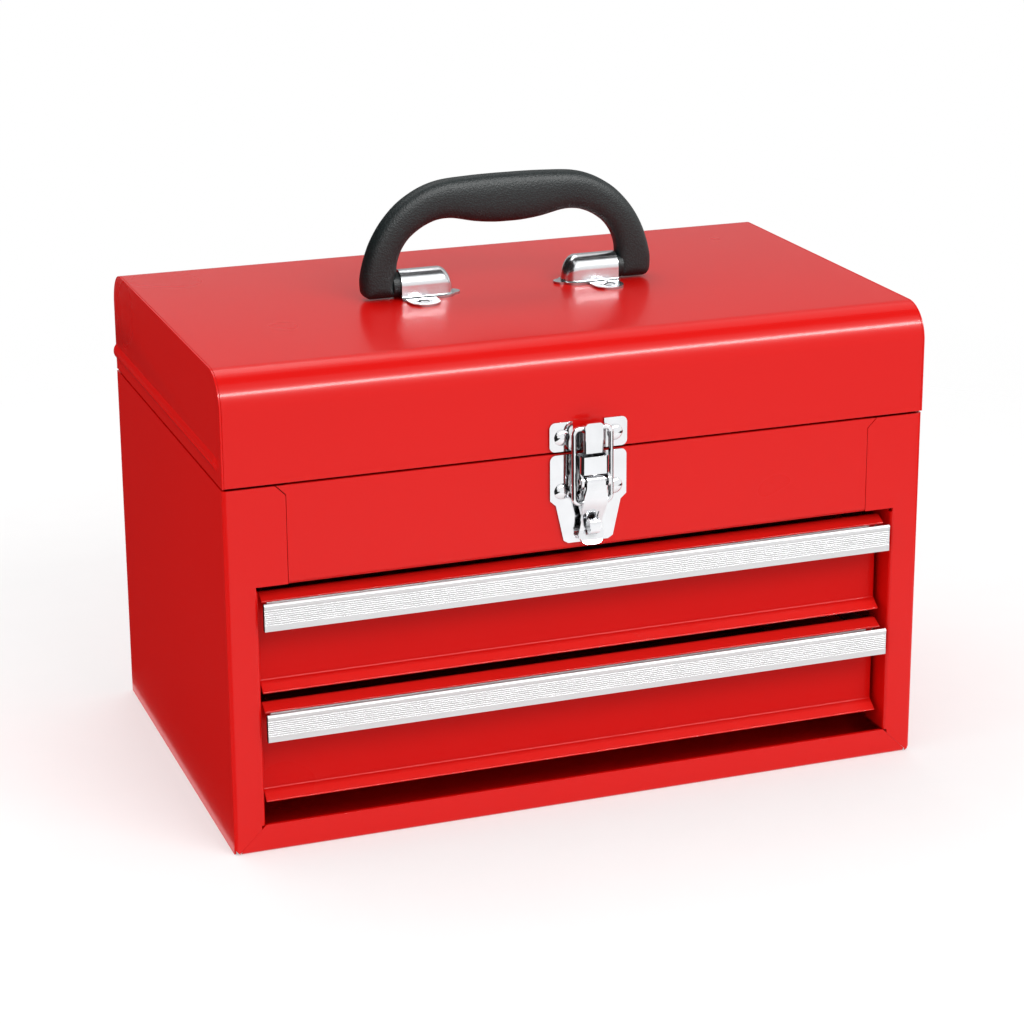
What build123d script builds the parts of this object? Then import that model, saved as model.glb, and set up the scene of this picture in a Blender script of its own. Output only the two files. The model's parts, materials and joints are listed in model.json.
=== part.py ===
from build123d import *
import os

# Portable steel tool box: a case with two drawers, a lid with a carrying handle and a draw latch.
# Millimetres. X runs across the front, Y runs to the back, Z is up. The origin is the middle of the
# underside of the case.

# ---- overall ----
WIDTH = 366.0  # case and lid, side to side
DEPTH = 229.0  # case and lid, front to back
CASE_TOP = 185.8
LID_BOTTOM = 186.9
LID_TOP = 241.5
SHEET = 1.0  # folded steel sheet
BEND = 2.0  # outside bend radius of the case sheets
HEM = 7.0  # height of a folded-back edge
LAP = 10.0  # height of a spot-welded lap
FIT = 0.05  # radial clearance of a running fit
SEAM = 0.1  # gap along a mitred seam

HALF = WIDTH / 2
FRONT = -DEPTH / 2
BACK = DEPTH / 2
INNER = HALF - SHEET  # inside face of the side panels
INNER_BACK = BACK - SHEET  # inside face of the back panel

# ---- case front ----
FLANGE = 15.7  # front flange beside the drawers
RETURN = 20.0  # depth of the flange's inward return
SILL = 14.0  # front rail under the drawers
OPEN_TOP = 136.6  # top of the drawer opening, underside of the tray
TAB = 30.5  # wider flange beside the tray front
TAB_CUT = 5.0  # chamfer at the tab's top inner corner
CLIP = 3.0  # clipped bottom corners
MITRE_X = HALF - 2.5
MITRE_Z = 1.2
LAP_FRONT = FRONT + 25.0
LAP_BACK = BACK - 14.5
BACK_RETURN = 13.0
PAN_HALF = INNER - 2.5
OPENING = HALF - FLANGE  # half width of the drawer opening

# ---- drawers ----
PITCH = 56.7
FACE_Y = FRONT + 12.0
FRONT_HALF = OPENING - 2.3
LIP_TOP = 131.0  # top bend of the upper drawer's front
LIP_TOP_EDGE = LIP_TOP - 3.9
LIP_TOP_Y = FRONT + 3.7
LIP_LOW = 85.0
LIP_LOW_EDGE = LIP_LOW - 4.7
LIP_LOW_Y = FRONT + 6.0
BOX_BACK = BACK - 6.5
BOX_FLOOR = LIP_LOW - 1.5
BOX_HALF = OPENING - 10.8
RAIL_Z = LIP_TOP - 9.5  # underside of the drawer's side rail
RAIL_OUT = 8.4  # how far the rail stands out from the drawer side
RAIL_DROP = 4.0
RUNNER_GAP = 0.3
RUNNER_IN = BOX_HALF + 1.1
RUNNER_FRONT = FRONT + 15.0
WALL_TOP = RAIL_Z - 5.5  # front and back walls of the drawer box
CORNER = 3.0  # relief at the folded corners of the drawer box

# ---- drawer pulls ----
PULL_HALF = OPENING - 1.8
PULL_FRONT = FRONT - 3.0
PULL_THICK = 2.4
PULL_TOP = LIP_TOP - 2.5
PULL_LOW = PULL_TOP - 13.8
GROOVES = 8
GROOVE_PITCH = 1.05
GROOVE_DEPTH = 0.3
GROOVE_START = PULL_TOP - 2.9
PULL_WEB = PULL_LOW + 6.5  # underside of the web that carries the pull
PULL_WEB_THICK = 1.6

# ---- lid ----
LID_RADIUS = 18.0
END_FLANGE = 10.0
LID_HEM = 4.0
BEAD_Z = 196.6
BEAD_WIDTH = 7.5
BEAD_RISE = 1.5
BEAD_START = FRONT + 8.0

# ---- piano hinge ----
HINGE_Y = BACK + 2.8
HINGE_Z = 187.5
KNUCKLE_R = 2.5
HINGE_PIN_R = 1.45
KNUCKLE_PITCH = 90.0
KNUCKLE_GAP = 0.3
KNUCKLES = 4
LEAF = 1.3
LEAF_CLEAR = KNUCKLE_R + 0.3
LEAF_REACH = 14.5

# ---- rivets ----
RIVET_HEAD = 4.1
RIVET_SHANK = 2.0
RIVET_DOME = 1.8  # height of the head
RIVET_BEVEL = 1.3  # rounds the head off
RIVET_SIDES = 14
RIVET_X = 13.85

# ---- latch, sizes measured forward from the front plane ----
LATCH = 1.2  # plated latch sheet
KEEPER_HALF = 20.25
KEEPER_LOW = 187.2
KEEPER_TOP = 202.0
KEEPER_DIP = 197.0
KEEPER_EAR = 8.25  # inside edge of the ears
KEEPER_RIVET_Z = 194.3
HOOK_HALF = 5.35
HOOK_OUT = 9.2
HOOK_TOP = 202.4
HOOK_SEAT = 197.6
HOOK_FLAT = 4.6
BASE_HALF = 20.0
BASE_TOP = 185.5
BASE_RIVET_Z = 167.0
PIVOT_Y = FRONT - 9.0
PIVOT_Z = 173.4
PIVOT_PIN_R = 1.5
CHEEK_IN = 6.4
CHEEK_R = 3.3
BRIDGE_OUT = 11.0
BRIDGE_LOW = 177.0
BRIDGE_TOP = 186.0
PIN_END = 8.1
STAPLE_HALF = 2.5
STAPLE_TOP = 154.0
STAPLE_LOW = 146.0
STAPLE_OUT = 11.0
LEVER_R = 3.0
LEVER_HALF = 6.15
LEVER_NECK = 5.9
LEVER_FLANGE_IN = LEVER_HALF - LATCH
SLOT_HALF = 3.0
SLOT_TOP = 157.2
SLOT_LOW = 144.5
LOOP_END_Y = FRONT - 6.8
LOOP_END_Z = 161.8
LOOP_BAR_Y = FRONT - 6.2
LOOP_BAR_Z = 199.4
WIRE_R = 1.3
LOOP_HALF = 9.65
LOOP_BEND = 2.0  # cut corner at each bend
LOOP_TIP = 4.6

# ---- carrying handle and its saddles ----
GRIP_AXIS_Z = LID_TOP + 7.1
STUB_R = 6.4
STUB_END = 39.5
SADDLE_SHEET = 1.2
SADDLE_R = STUB_R + FIT + SADDLE_SHEET
SADDLE_OUT = 59.4
SADDLE_TIP = 26.0
SADDLE_RIDGE = 38.0  # where the ball-shaped end begins
SADDLE_NOSE = SADDLE_RIDGE - SADDLE_R
LOBE_X = 50.2
LOBE_R = 8.1
LOBE_Y = 16.0
SADDLE_RIVET_Y = 15.0
HANDLE_THICK = 13.0
HANDLE_FOOT = GRIP_AXIS_Z - 6.3
HANDLE_INNER = 60.2
HANDLE_HALF = 79.4
HANDLE_EDGE = 3.8  # chamfer along the edges of the grip
GRIP_TOP = GRIP_AXIS_Z + 53.8  # crown of the bail
GRIP_BELLY = GRIP_AXIS_Z + 28.4  # underside of the grip at its middle

os.makedirs("parts", exist_ok=True)


def write(built, name):
    """Labels a finished part and writes it to its own file."""
    built.part.label = name
    export_step(built.part, "parts/" + name + ".step")


def facing(y):
    """Workplane at depth y that looks forward: local x is X, local y is Z, extrusion goes to -Y."""
    return Plane.XZ.offset(-y)


# ============================ case ============================
with BuildPart() as side_panel_left:
    with BuildSketch(Plane.XY):
        with BuildLine():
            FilletPolyline(
                (-HALF, BACK),
                (-HALF, FRONT),
                (-OPENING, FRONT),
                (-OPENING, FRONT + RETURN),
                radius=BEND,
            )
            offset(amount=SHEET, side=Side.LEFT)
        make_face()
    extrude(amount=CASE_TOP)
    # the return stops at the top of the drawer opening, with a small bend relief
    with BuildSketch(Plane.XY.offset(OPEN_TOP)):
        with Locations((-OPENING - BEND - SHEET / 2, FRONT)):
            Rectangle(BEND * 3, RETURN * 2 + 2, align=(Align.MIN, Align.CENTER))
    extrude(amount=CASE_TOP, mode=Mode.SUBTRACT)
    with BuildSketch(facing(FRONT + SHEET)):
        with BuildLine():
            Polyline(
                (-HALF + BEND, OPEN_TOP),
                (-HALF + TAB, OPEN_TOP),
                (-HALF + TAB, CASE_TOP - TAB_CUT),
                (-HALF + TAB - TAB_CUT, CASE_TOP),
                (-HALF + BEND, CASE_TOP),
                close=True,
            )
        make_face()
    extrude(amount=SHEET)
    with BuildSketch(facing(FRONT + BEND * 2)):
        with Locations((-OPENING - SHEET / 2, OPEN_TOP - 1.2)):
            Rectangle(SHEET, 2.5)
    extrude(amount=BEND * 3, mode=Mode.SUBTRACT)
    # mitred lower end, open below the sill
    with BuildSketch(facing(FRONT + RETURN + 1)):
        with BuildLine():
            Polyline(
                (-OPENING + 1, SILL),
                (-OPENING, SILL),
                (-MITRE_X, MITRE_Z),
                (-MITRE_X, -1),
                (-OPENING + 1, -1),
                close=True,
            )
        make_face()
    with BuildSketch(facing(FRONT + RETURN + 1)):
        with Locations((-OPENING - BEND, 0)):
            Rectangle(BEND * 2, SILL, align=(Align.MIN, Align.MIN))
    extrude(amount=RETURN + 2, mode=Mode.SUBTRACT)
    # clipped bottom corner
    with BuildSketch(facing(FRONT + BEND + 0.5)):
        with BuildLine():
            Polyline(
                (-HALF - 1, CLIP + 1),
                (-HALF - 1, -1),
                (-HALF + CLIP + 1, -1),
                close=True,
            )
        make_face()
    extrude(amount=BEND + 1.5, mode=Mode.SUBTRACT)
    # folded-back top edge
    with BuildSketch(facing(LAP_BACK)):
        with Locations((-INNER, CASE_TOP)):
            Rectangle(SHEET, HEM, align=(Align.MIN, Align.MAX))
    extrude(amount=LAP_BACK - FRONT - BEND - 1)

with BuildPart() as side_panel_right:
    mirror(side_panel_left.part, about=Plane.YZ)

with BuildPart() as back_panel:
    with BuildSketch(Plane.XY):
        with BuildLine():
            FilletPolyline(
                (-INNER, BACK - BACK_RETURN),
                (-INNER, BACK),
                (INNER, BACK),
                (INNER, BACK - BACK_RETURN),
                radius=BEND,
            )
            offset(amount=SHEET, side=Side.RIGHT)
        make_face()
    extrude(amount=CASE_TOP)

with BuildPart() as bottom_pan:
    with BuildSketch(Plane.YZ):
        with BuildLine():
            FilletPolyline(
                (FRONT, SILL),
                (FRONT, 0),
                (INNER_BACK, 0),
                (INNER_BACK, LAP),
                radius=BEND,
            )
            offset(amount=SHEET, side=Side.LEFT)
        make_face()
    extrude(amount=PAN_HALF, both=True)
    # ends of the front rail mitred to the side flanges
    with BuildSketch(facing(FRONT + BEND + 1)):
        with BuildLine():
            Polyline(
                (-PAN_HALF - 2, SILL + 1),
                (-OPENING + SEAM, SILL + 1),
                (-OPENING + SEAM, SILL),
                (-MITRE_X + SEAM, MITRE_Z),
                (-MITRE_X + SEAM, -1),
                (-PAN_HALF - 2, -1),
                close=True,
            )
        make_face()
        mirror(about=Plane.YZ)
    extrude(amount=BEND + 2, mode=Mode.SUBTRACT)
    # folded-back rail edge
    with BuildSketch(facing(FRONT + 2 * SHEET)):
        with Locations((0, SILL)):
            Rectangle(2 * OPENING - 2, HEM - 1, align=(Align.CENTER, Align.MAX))
    extrude(amount=SHEET)
    # side laps
    with BuildSketch(facing(LAP_BACK)):
        with BuildLine():
            FilletPolyline((-INNER, LAP), (-INNER, 0), (-INNER + LAP, 0), radius=BEND)
            offset(amount=SHEET, side=Side.LEFT)
        make_face()
        mirror(about=Plane.YZ)
    extrude(amount=LAP_BACK - LAP_FRONT)

TAB_SEAM = 0.3  # gap between the tray's front and the side tabs
TRAY_HALF = HALF - TAB - TAB_SEAM
with BuildPart() as tray:
    with BuildSketch(Plane.YZ):
        with BuildLine():
            FilletPolyline(
                (FRONT, CASE_TOP),
                (FRONT, OPEN_TOP),
                (INNER_BACK, OPEN_TOP),
                (INNER_BACK, OPEN_TOP + LAP),
                radius=BEND,
            )
            offset(amount=SHEET, side=Side.LEFT)
        make_face()
    extrude(amount=TRAY_HALF, both=True)
    with BuildSketch(Plane.XY.offset(OPEN_TOP)):
        with Locations((0, FRONT + SHEET)):
            Rectangle(2 * PAN_HALF, DEPTH - 4 * SHEET, align=(Align.CENTER, Align.MIN))
    extrude(amount=SHEET)
    with BuildSketch(facing(LAP_BACK)):
        with BuildLine():
            FilletPolyline(
                (-INNER, OPEN_TOP + LAP),
                (-INNER, OPEN_TOP),
                (-INNER + LAP, OPEN_TOP),
                radius=BEND,
            )
            offset(amount=SHEET, side=Side.LEFT)
        make_face()
        mirror(about=Plane.YZ)
    extrude(amount=LAP_BACK - LAP_FRONT)
    # the front's top corners reach over the clipped corners of the side tabs
    with BuildSketch(facing(FRONT + SHEET)):
        with BuildLine():
            Polyline(
                (-TRAY_HALF, CASE_TOP),
                (-TRAY_HALF - TAB_CUT + TAB_SEAM, CASE_TOP),
                (-TRAY_HALF, CASE_TOP - TAB_CUT + TAB_SEAM),
                close=True,
            )
        make_face()
        mirror(about=Plane.YZ)
    extrude(amount=SHEET)
    # folded-back top edge and the doublers that tie the front to the side tabs
    with BuildSketch(facing(FRONT + 2 * SHEET)):
        with Locations((0, CASE_TOP)):
            Rectangle(2 * TRAY_HALF, HEM, align=(Align.CENTER, Align.MAX))
        with Locations((-TRAY_HALF, OPEN_TOP + 4), (TRAY_HALF, OPEN_TOP + 4)):
            Rectangle(26, 36, align=(Align.CENTER, Align.MIN))
    extrude(amount=SHEET)

RUNNER_LOW = RAIL_Z - RAIL_DROP - RUNNER_GAP - SHEET
RUNNER_TOP = RAIL_Z + SHEET + RUNNER_GAP + SHEET
with BuildPart() as runner_1_right:
    with BuildSketch(facing(INNER_BACK)):
        with BuildLine():
            Polyline(
                (RUNNER_IN, RUNNER_LOW),
                (OPENING, RUNNER_LOW),
                (OPENING, RUNNER_TOP),
                (RUNNER_IN, RUNNER_TOP),
            )
            offset(amount=SHEET, side=Side.LEFT)
        make_face()
    extrude(amount=INNER_BACK - RUNNER_FRONT)
    # foot welded to the back panel
    with BuildSketch(facing(INNER_BACK)):
        with Locations((OPENING - SHEET, (RUNNER_LOW + RUNNER_TOP) / 2)):
            Rectangle(12, 4.5, align=(Align.MIN, Align.CENTER))
    extrude(amount=SHEET)

with BuildPart() as runner_1_left:
    mirror(runner_1_right.part, about=Plane.YZ)

with BuildPart() as runner_2_right:
    with Locations((0, 0, -PITCH)):
        add(runner_1_right.part)

with BuildPart() as runner_2_left:
    with Locations((0, 0, -PITCH)):
        add(runner_1_left.part)

# ============================ drawers ============================
with BuildPart() as drawer_1_front:
    with BuildSketch(Plane.YZ):
        with BuildLine():
            FilletPolyline(
                (LIP_TOP_Y, LIP_TOP_EDGE),
                (FACE_Y, LIP_TOP),
                (FACE_Y, LIP_LOW),
                (LIP_LOW_Y, LIP_LOW_EDGE),
                radius=BEND,
            )
            offset(amount=SHEET, side=Side.LEFT)
        make_face()
    extrude(amount=FRONT_HALF, both=True)

with BuildPart() as drawer_1_box:
    # floor, sides and outward rails in one sheet
    with BuildSketch(facing(BOX_BACK - CORNER)):
        with BuildLine():
            FilletPolyline(
                (-BOX_HALF - RAIL_OUT, RAIL_Z - RAIL_DROP),
                (-BOX_HALF - RAIL_OUT, RAIL_Z),
                (-BOX_HALF, RAIL_Z),
                (-BOX_HALF, BOX_FLOOR),
                (BOX_HALF, BOX_FLOOR),
                (BOX_HALF, RAIL_Z),
                (BOX_HALF + RAIL_OUT, RAIL_Z),
                (BOX_HALF + RAIL_OUT, RAIL_Z - RAIL_DROP),
                radius=1.5,
            )
            offset(amount=SHEET, side=Side.LEFT)
        make_face()
    extrude(amount=BOX_BACK - FACE_Y - SHEET - 2 * CORNER)
    # front and back walls folded up from the same floor
    with BuildSketch(Plane.YZ):
        with BuildLine():
            FilletPolyline(
                (FACE_Y + SHEET, WALL_TOP),
                (FACE_Y + SHEET, BOX_FLOOR),
                (BOX_BACK, BOX_FLOOR),
                (BOX_BACK, WALL_TOP),
                radius=BEND,
            )
            offset(amount=SHEET, side=Side.LEFT)
        make_face()
    extrude(amount=BOX_HALF - CORNER, both=True)
    # the walls' folded ears lap the sides
    with BuildSketch(Plane.XY.offset(BOX_FLOOR + CORNER)):
        for sign in (-1, 1):
            with Locations((sign * (BOX_HALF - 1.5 * SHEET), FACE_Y + SHEET)):
                Rectangle(SHEET, LAP, align=(Align.CENTER, Align.MIN))
            with Locations((sign * (BOX_HALF - 1.5 * SHEET), BOX_BACK)):
                Rectangle(SHEET, LAP, align=(Align.CENTER, Align.MAX))
            with Locations((sign * (BOX_HALF - (SHEET + CORNER) / 2), FACE_Y + SHEET)):
                Rectangle(CORNER - SHEET, SHEET, align=(Align.CENTER, Align.MIN))
            with Locations((sign * (BOX_HALF - (SHEET + CORNER) / 2), BOX_BACK)):
                Rectangle(CORNER - SHEET, SHEET, align=(Align.CENTER, Align.MAX))
    extrude(amount=WALL_TOP - BOX_FLOOR - CORNER)

with BuildPart() as drawer_1_pull:
    with BuildSketch(Plane.YZ) as pull_section:
        with Locations((PULL_FRONT, PULL_LOW)):
            Rectangle(PULL_THICK, PULL_TOP - PULL_LOW, align=(Align.MIN, Align.MIN))
        chamfer(pull_section.vertices().group_by(Axis.Y)[-1], PULL_THICK / 3)
        for groove in range(GROOVES):
            with Locations((PULL_FRONT, GROOVE_START - groove * GROOVE_PITCH)):
                Rectangle(2 * GROOVE_DEPTH, GROOVE_PITCH / 2, mode=Mode.SUBTRACT)
    extrude(amount=PULL_HALF, both=True)
    # web and foot that carry the pull, cut back at both ends
    with BuildSketch(Plane.YZ):
        with Locations((PULL_FRONT + PULL_THICK - 0.5, PULL_WEB)):
            Rectangle(FACE_Y - PULL_FRONT - PULL_THICK + 0.5, PULL_WEB_THICK, align=(Align.MIN, Align.MIN))
        with Locations((FACE_Y, PULL_WEB)):
            Rectangle(PULL_WEB_THICK, 6.0, align=(Align.MAX, Align.MIN))
    extrude(amount=PULL_HALF - 5.0, both=True)

with BuildPart() as drawer_2_front:
    with Locations((0, 0, -PITCH)):
        add(drawer_1_front.part)

with BuildPart() as drawer_2_box:
    with Locations((0, 0, -PITCH)):
        add(drawer_1_box.part)

with BuildPart() as drawer_2_pull:
    with Locations((0, 0, -PITCH)):
        add(drawer_1_pull.part)

# ============================ lid ============================
with BuildPart() as lid_shell:
    with BuildSketch(Plane.YZ):
        with BuildLine():
            FilletPolyline(
                (FRONT, LID_BOTTOM),
                (FRONT, LID_TOP),
                (BACK, LID_TOP),
                (BACK, LID_BOTTOM),
                radius=LID_RADIUS,
            )
            offset(amount=SHEET, side=Side.RIGHT)
        make_face()
    extrude(amount=INNER, both=True)
    # folded-back lower edges, front and back
    with BuildSketch(Plane.YZ):
        with Locations((FRONT + SHEET, LID_BOTTOM)):
            Rectangle(SHEET, LID_HEM, align=(Align.MIN, Align.MIN))
        with Locations((BACK - SHEET, LID_BOTTOM)):
            Rectangle(SHEET, LID_HEM, align=(Align.MAX, Align.MIN))
    extrude(amount=INNER - END_FLANGE - 0.5, both=True)

BEAD_CURVE = (BEAD_WIDTH**2 / 4 + BEAD_RISE**2) / (2 * BEAD_RISE)
with BuildPart() as lid_end_left:
    with BuildSketch(Plane.YZ.offset(-HALF)) as end_plate:
        with Locations((0, LID_BOTTOM)):
            Rectangle(DEPTH, LID_TOP - LID_BOTTOM, align=(Align.CENTER, Align.MIN))
        fillet(end_plate.vertices().group_by(Axis.Y)[-1], LID_RADIUS)
    extrude(amount=SHEET)
    # pressed bead: a low ridge along the lower part, rounded at its front end
    with BuildSketch(facing(BACK)) as bead_section:
        with Locations((-HALF - BEAD_RISE + BEAD_CURVE, BEAD_Z)):
            Circle(BEAD_CURVE)
        with Locations((-HALF, BEAD_Z)):
            Rectangle(BEAD_CURVE * 4, BEAD_WIDTH * 3, align=(Align.MIN, Align.CENTER), mode=Mode.SUBTRACT)
    extrude(amount=BACK - BEAD_START - BEAD_WIDTH / 2)
    with BuildSketch(facing(BEAD_START + BEAD_WIDTH / 2)):
        add(bead_section.sketch_local)
        with Locations((-HALF, BEAD_Z)):
            Rectangle(BEAD_WIDTH * 2, BEAD_WIDTH, align=(Align.CENTER, Align.MAX), mode=Mode.SUBTRACT)
    revolve(
        axis=Axis((0, BEAD_START + BEAD_WIDTH / 2, BEAD_Z), (1, 0, 0)),
        revolution_arc=360,
    )
    # inside of the bead
    with BuildSketch(facing(BACK)):
        with Locations((-HALF - BEAD_RISE + BEAD_CURVE, BEAD_Z)):
            Circle(BEAD_CURVE - SHEET)
        with Locations((-INNER, BEAD_Z)):
            Rectangle(BEAD_CURVE * 4, BEAD_WIDTH * 3, align=(Align.MIN, Align.CENTER), mode=Mode.SUBTRACT)
    extrude(amount=BACK - BEAD_START - BEAD_WIDTH / 2, mode=Mode.SUBTRACT)
    # flange that carries the wrap, and the folded lower edge
    with BuildSketch(Plane.YZ.offset(-INNER)):
        with BuildLine():
            FilletPolyline(
                (FRONT + SHEET, LID_BOTTOM + SHEET),
                (FRONT + SHEET, LID_TOP - SHEET),
                (BACK - SHEET, LID_TOP - SHEET),
                (BACK - SHEET, LID_BOTTOM + SHEET),
                radius=LID_RADIUS - SHEET,
            )
            offset(amount=SHEET, side=Side.RIGHT)
        make_face()
    extrude(amount=END_FLANGE)
    with BuildSketch(Plane.YZ.offset(-INNER)):
        with Locations((0, LID_BOTTOM)):
            Rectangle(DEPTH - 8 * SHEET, LID_HEM, align=(Align.CENTER, Align.MIN))
    extrude(amount=SHEET)

with BuildPart() as lid_end_right:
    mirror(lid_end_left.part, about=Plane.YZ)

# ============================ piano hinge ============================
HINGE_START = -KNUCKLES * KNUCKLE_PITCH / 2


def knuckle_planes(first):
    """Workplanes at the left end of every second knuckle, from the given one on."""
    return [
        Plane.YZ.offset(HINGE_START + KNUCKLE_PITCH * n + KNUCKLE_GAP / 2) for n in range(first, KNUCKLES, 2)
    ]


with BuildPart() as hinge_leaf_case:
    with BuildSketch(Plane.YZ.offset(HINGE_START + KNUCKLE_GAP / 2)):
        with Locations((BACK, HINGE_Z - LEAF_CLEAR)):
            Rectangle(LEAF, LEAF_REACH - LEAF_CLEAR, align=(Align.MIN, Align.MAX))
    extrude(amount=KNUCKLES * KNUCKLE_PITCH - KNUCKLE_GAP)
    with BuildSketch(*knuckle_planes(0)):
        with Locations((HINGE_Y - KNUCKLE_R, HINGE_Z)):
            Rectangle(SHEET, LEAF_CLEAR + 1, align=(Align.MIN, Align.MAX))
        with Locations((HINGE_Y, HINGE_Z)):
            Circle(KNUCKLE_R)
            Circle(HINGE_PIN_R + FIT, mode=Mode.SUBTRACT)
    extrude(amount=KNUCKLE_PITCH - KNUCKLE_GAP)

with BuildPart() as hinge_leaf_lid:
    with BuildSketch(Plane.YZ.offset(HINGE_START + KNUCKLE_GAP / 2)):
        with Locations((BACK, HINGE_Z + LEAF_CLEAR)):
            Rectangle(LEAF, LEAF_REACH - LEAF_CLEAR, align=(Align.MIN, Align.MIN))
    extrude(amount=KNUCKLES * KNUCKLE_PITCH - KNUCKLE_GAP)
    with BuildSketch(*knuckle_planes(1)):
        with Locations((HINGE_Y - KNUCKLE_R, HINGE_Z)):
            Rectangle(SHEET, LEAF_CLEAR + 1, align=(Align.MIN, Align.MIN))
        with Locations((HINGE_Y, HINGE_Z)):
            Circle(KNUCKLE_R)
            Circle(HINGE_PIN_R + FIT, mode=Mode.SUBTRACT)
    extrude(amount=KNUCKLE_PITCH - KNUCKLE_GAP)

with BuildPart() as hinge_pin:
    with BuildSketch(Plane.YZ):
        with Locations((HINGE_Y, HINGE_Z)):
            Circle(HINGE_PIN_R)
    extrude(amount=-HINGE_START, both=True)

# ============================ draw latch ============================


def rivet(place):
    """Domed rivet. The place's origin lies on the clamped metal and its z axis points out of the head."""
    with BuildPart() as one:
        with BuildSketch(place):
            RegularPolygon(RIVET_HEAD, RIVET_SIDES)
        extrude(amount=RIVET_DOME)
        chamfer(one.faces().sort_by(Axis(place.origin, place.z_dir))[-1].edges(), RIVET_BEVEL)
        with BuildSketch(place):
            RegularPolygon(RIVET_SHANK, RIVET_SIDES)
        extrude(amount=-LATCH)
    return one.part


def front_place(x, z):
    """Place of a rivet head on a latch plate at the front."""
    return Plane(origin=(x, FRONT - LATCH, z), x_dir=(1, 0, 0), z_dir=(0, -1, 0))


with BuildPart() as latch_keeper:
    with BuildSketch(facing(FRONT)) as keeper_face:
        with BuildLine():
            Polyline(
                (-KEEPER_HALF, KEEPER_LOW),
                (-KEEPER_HALF, KEEPER_TOP),
                (-KEEPER_EAR, KEEPER_TOP),
                (-KEEPER_EAR, KEEPER_DIP),
                (KEEPER_EAR, KEEPER_DIP),
                (KEEPER_EAR, KEEPER_TOP),
                (KEEPER_HALF, KEEPER_TOP),
                (KEEPER_HALF, KEEPER_LOW),
                close=True,
            )
        make_face()
        fillet(keeper_face.vertices().group_by(Axis.X)[0], 3.0)
        fillet(keeper_face.vertices().group_by(Axis.X)[-1], 3.0)
        with Locations((-RIVET_X, KEEPER_RIVET_Z), (RIVET_X, KEEPER_RIVET_Z)):
            RegularPolygon(RIVET_SHANK + FIT, RIVET_SIDES, mode=Mode.SUBTRACT)
    extrude(amount=LATCH)
    # cheeks and front of the hook, folded from one strip
    with BuildSketch(Plane.XY.offset(KEEPER_LOW)):
        with BuildLine():
            FilletPolyline(
                (-HOOK_HALF, FRONT - LATCH + 0.2),
                (-HOOK_HALF, FRONT - HOOK_OUT),
                (HOOK_HALF, FRONT - HOOK_OUT),
                (HOOK_HALF, FRONT - LATCH + 0.2),
                radius=1.6,
            )
            offset(amount=LATCH, side=Side.LEFT)
        make_face()
    extrude(amount=HOOK_SEAT - KEEPER_LOW)
    with BuildSketch(facing(FRONT - HOOK_OUT + LATCH)) as hook_lip:
        with Locations((0, HOOK_SEAT - 4)):
            Rectangle(2 * HOOK_FLAT, HOOK_TOP - HOOK_SEAT + 4, align=(Align.CENTER, Align.MIN))
        fillet(hook_lip.vertices().group_by(Axis.Y)[-1], 2.0)
    extrude(amount=LATCH)

with BuildPart() as keeper_rivets:
    add(rivet(front_place(-RIVET_X, KEEPER_RIVET_Z)))
    add(rivet(front_place(RIVET_X, KEEPER_RIVET_Z)))

with BuildPart() as latch_base:
    with BuildSketch(facing(FRONT)) as base_face:
        with BuildLine():
            Polyline(
                (-BASE_HALF, BASE_TOP),
                (-BASE_HALF, 162.5),
                (-BASE_HALF + 3, 159.8),
                (-12.95, 141.5),
                (-10.5, 140.0),
                (10.5, 140.0),
                (12.95, 141.5),
                (BASE_HALF - 3, 159.8),
                (BASE_HALF, 162.5),
                (BASE_HALF, BASE_TOP),
                close=True,
            )
        make_face()
        fillet(base_face.vertices().group_by(Axis.Y)[-1], 3.0)
        with Locations((-RIVET_X, BASE_RIVET_Z), (RIVET_X, BASE_RIVET_Z)):
            RegularPolygon(RIVET_SHANK + FIT, RIVET_SIDES, mode=Mode.SUBTRACT)
    extrude(amount=LATCH)
    # bridge across the top of the cheeks
    with BuildSketch(Plane.XY.offset(BRIDGE_LOW)):
        with BuildLine():
            FilletPolyline(
                (-CHEEK_IN - LATCH, FRONT - LATCH),
                (-CHEEK_IN - LATCH, FRONT - BRIDGE_OUT),
                (CHEEK_IN + LATCH, FRONT - BRIDGE_OUT),
                (CHEEK_IN + LATCH, FRONT - LATCH),
                radius=2.5,
            )
            offset(amount=LATCH, side=Side.LEFT)
        make_face()
    extrude(amount=BRIDGE_TOP - BRIDGE_LOW)
    # cheeks with the pivot bore
    with BuildSketch(Plane.YZ.offset(CHEEK_IN), Plane.YZ.offset(-CHEEK_IN - LATCH)):
        with BuildLine():
            Polyline(
                (FRONT - LATCH, PIVOT_Z - 7.9),
                (FRONT - LATCH, BRIDGE_TOP),
                (FRONT - BRIDGE_OUT + 2.6, BRIDGE_TOP),
                (FRONT - BRIDGE_OUT + 2.6, PIVOT_Z + 5.1),
                (PIVOT_Y - 2.2, PIVOT_Z + 2.46),
                (PIVOT_Y - 1.2, PIVOT_Z - 3.07),
                (PIVOT_Y + 2.0, PIVOT_Z - 4.9),
                close=True,
            )
        make_face()
        with Locations((PIVOT_Y, PIVOT_Z)):
            Circle(CHEEK_R)
            Circle(PIVOT_PIN_R + FIT, mode=Mode.SUBTRACT)
    extrude(amount=LATCH)
    # staple for a padlock
    with BuildSketch(Plane.YZ):
        with BuildLine():
            FilletPolyline(
                (FRONT - LATCH + 0.2, STAPLE_TOP),
                (FRONT - STAPLE_OUT, STAPLE_TOP),
                (FRONT - STAPLE_OUT, STAPLE_LOW),
                (FRONT - LATCH + 0.2, STAPLE_LOW),
                radius=2.6,
            )
            offset(amount=LATCH, side=Side.LEFT)
        make_face()
    extrude(amount=STAPLE_HALF, both=True)

with BuildPart() as latch_base_rivets:
    add(rivet(front_place(-RIVET_X, BASE_RIVET_Z)))
    add(rivet(front_place(RIVET_X, BASE_RIVET_Z)))

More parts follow.
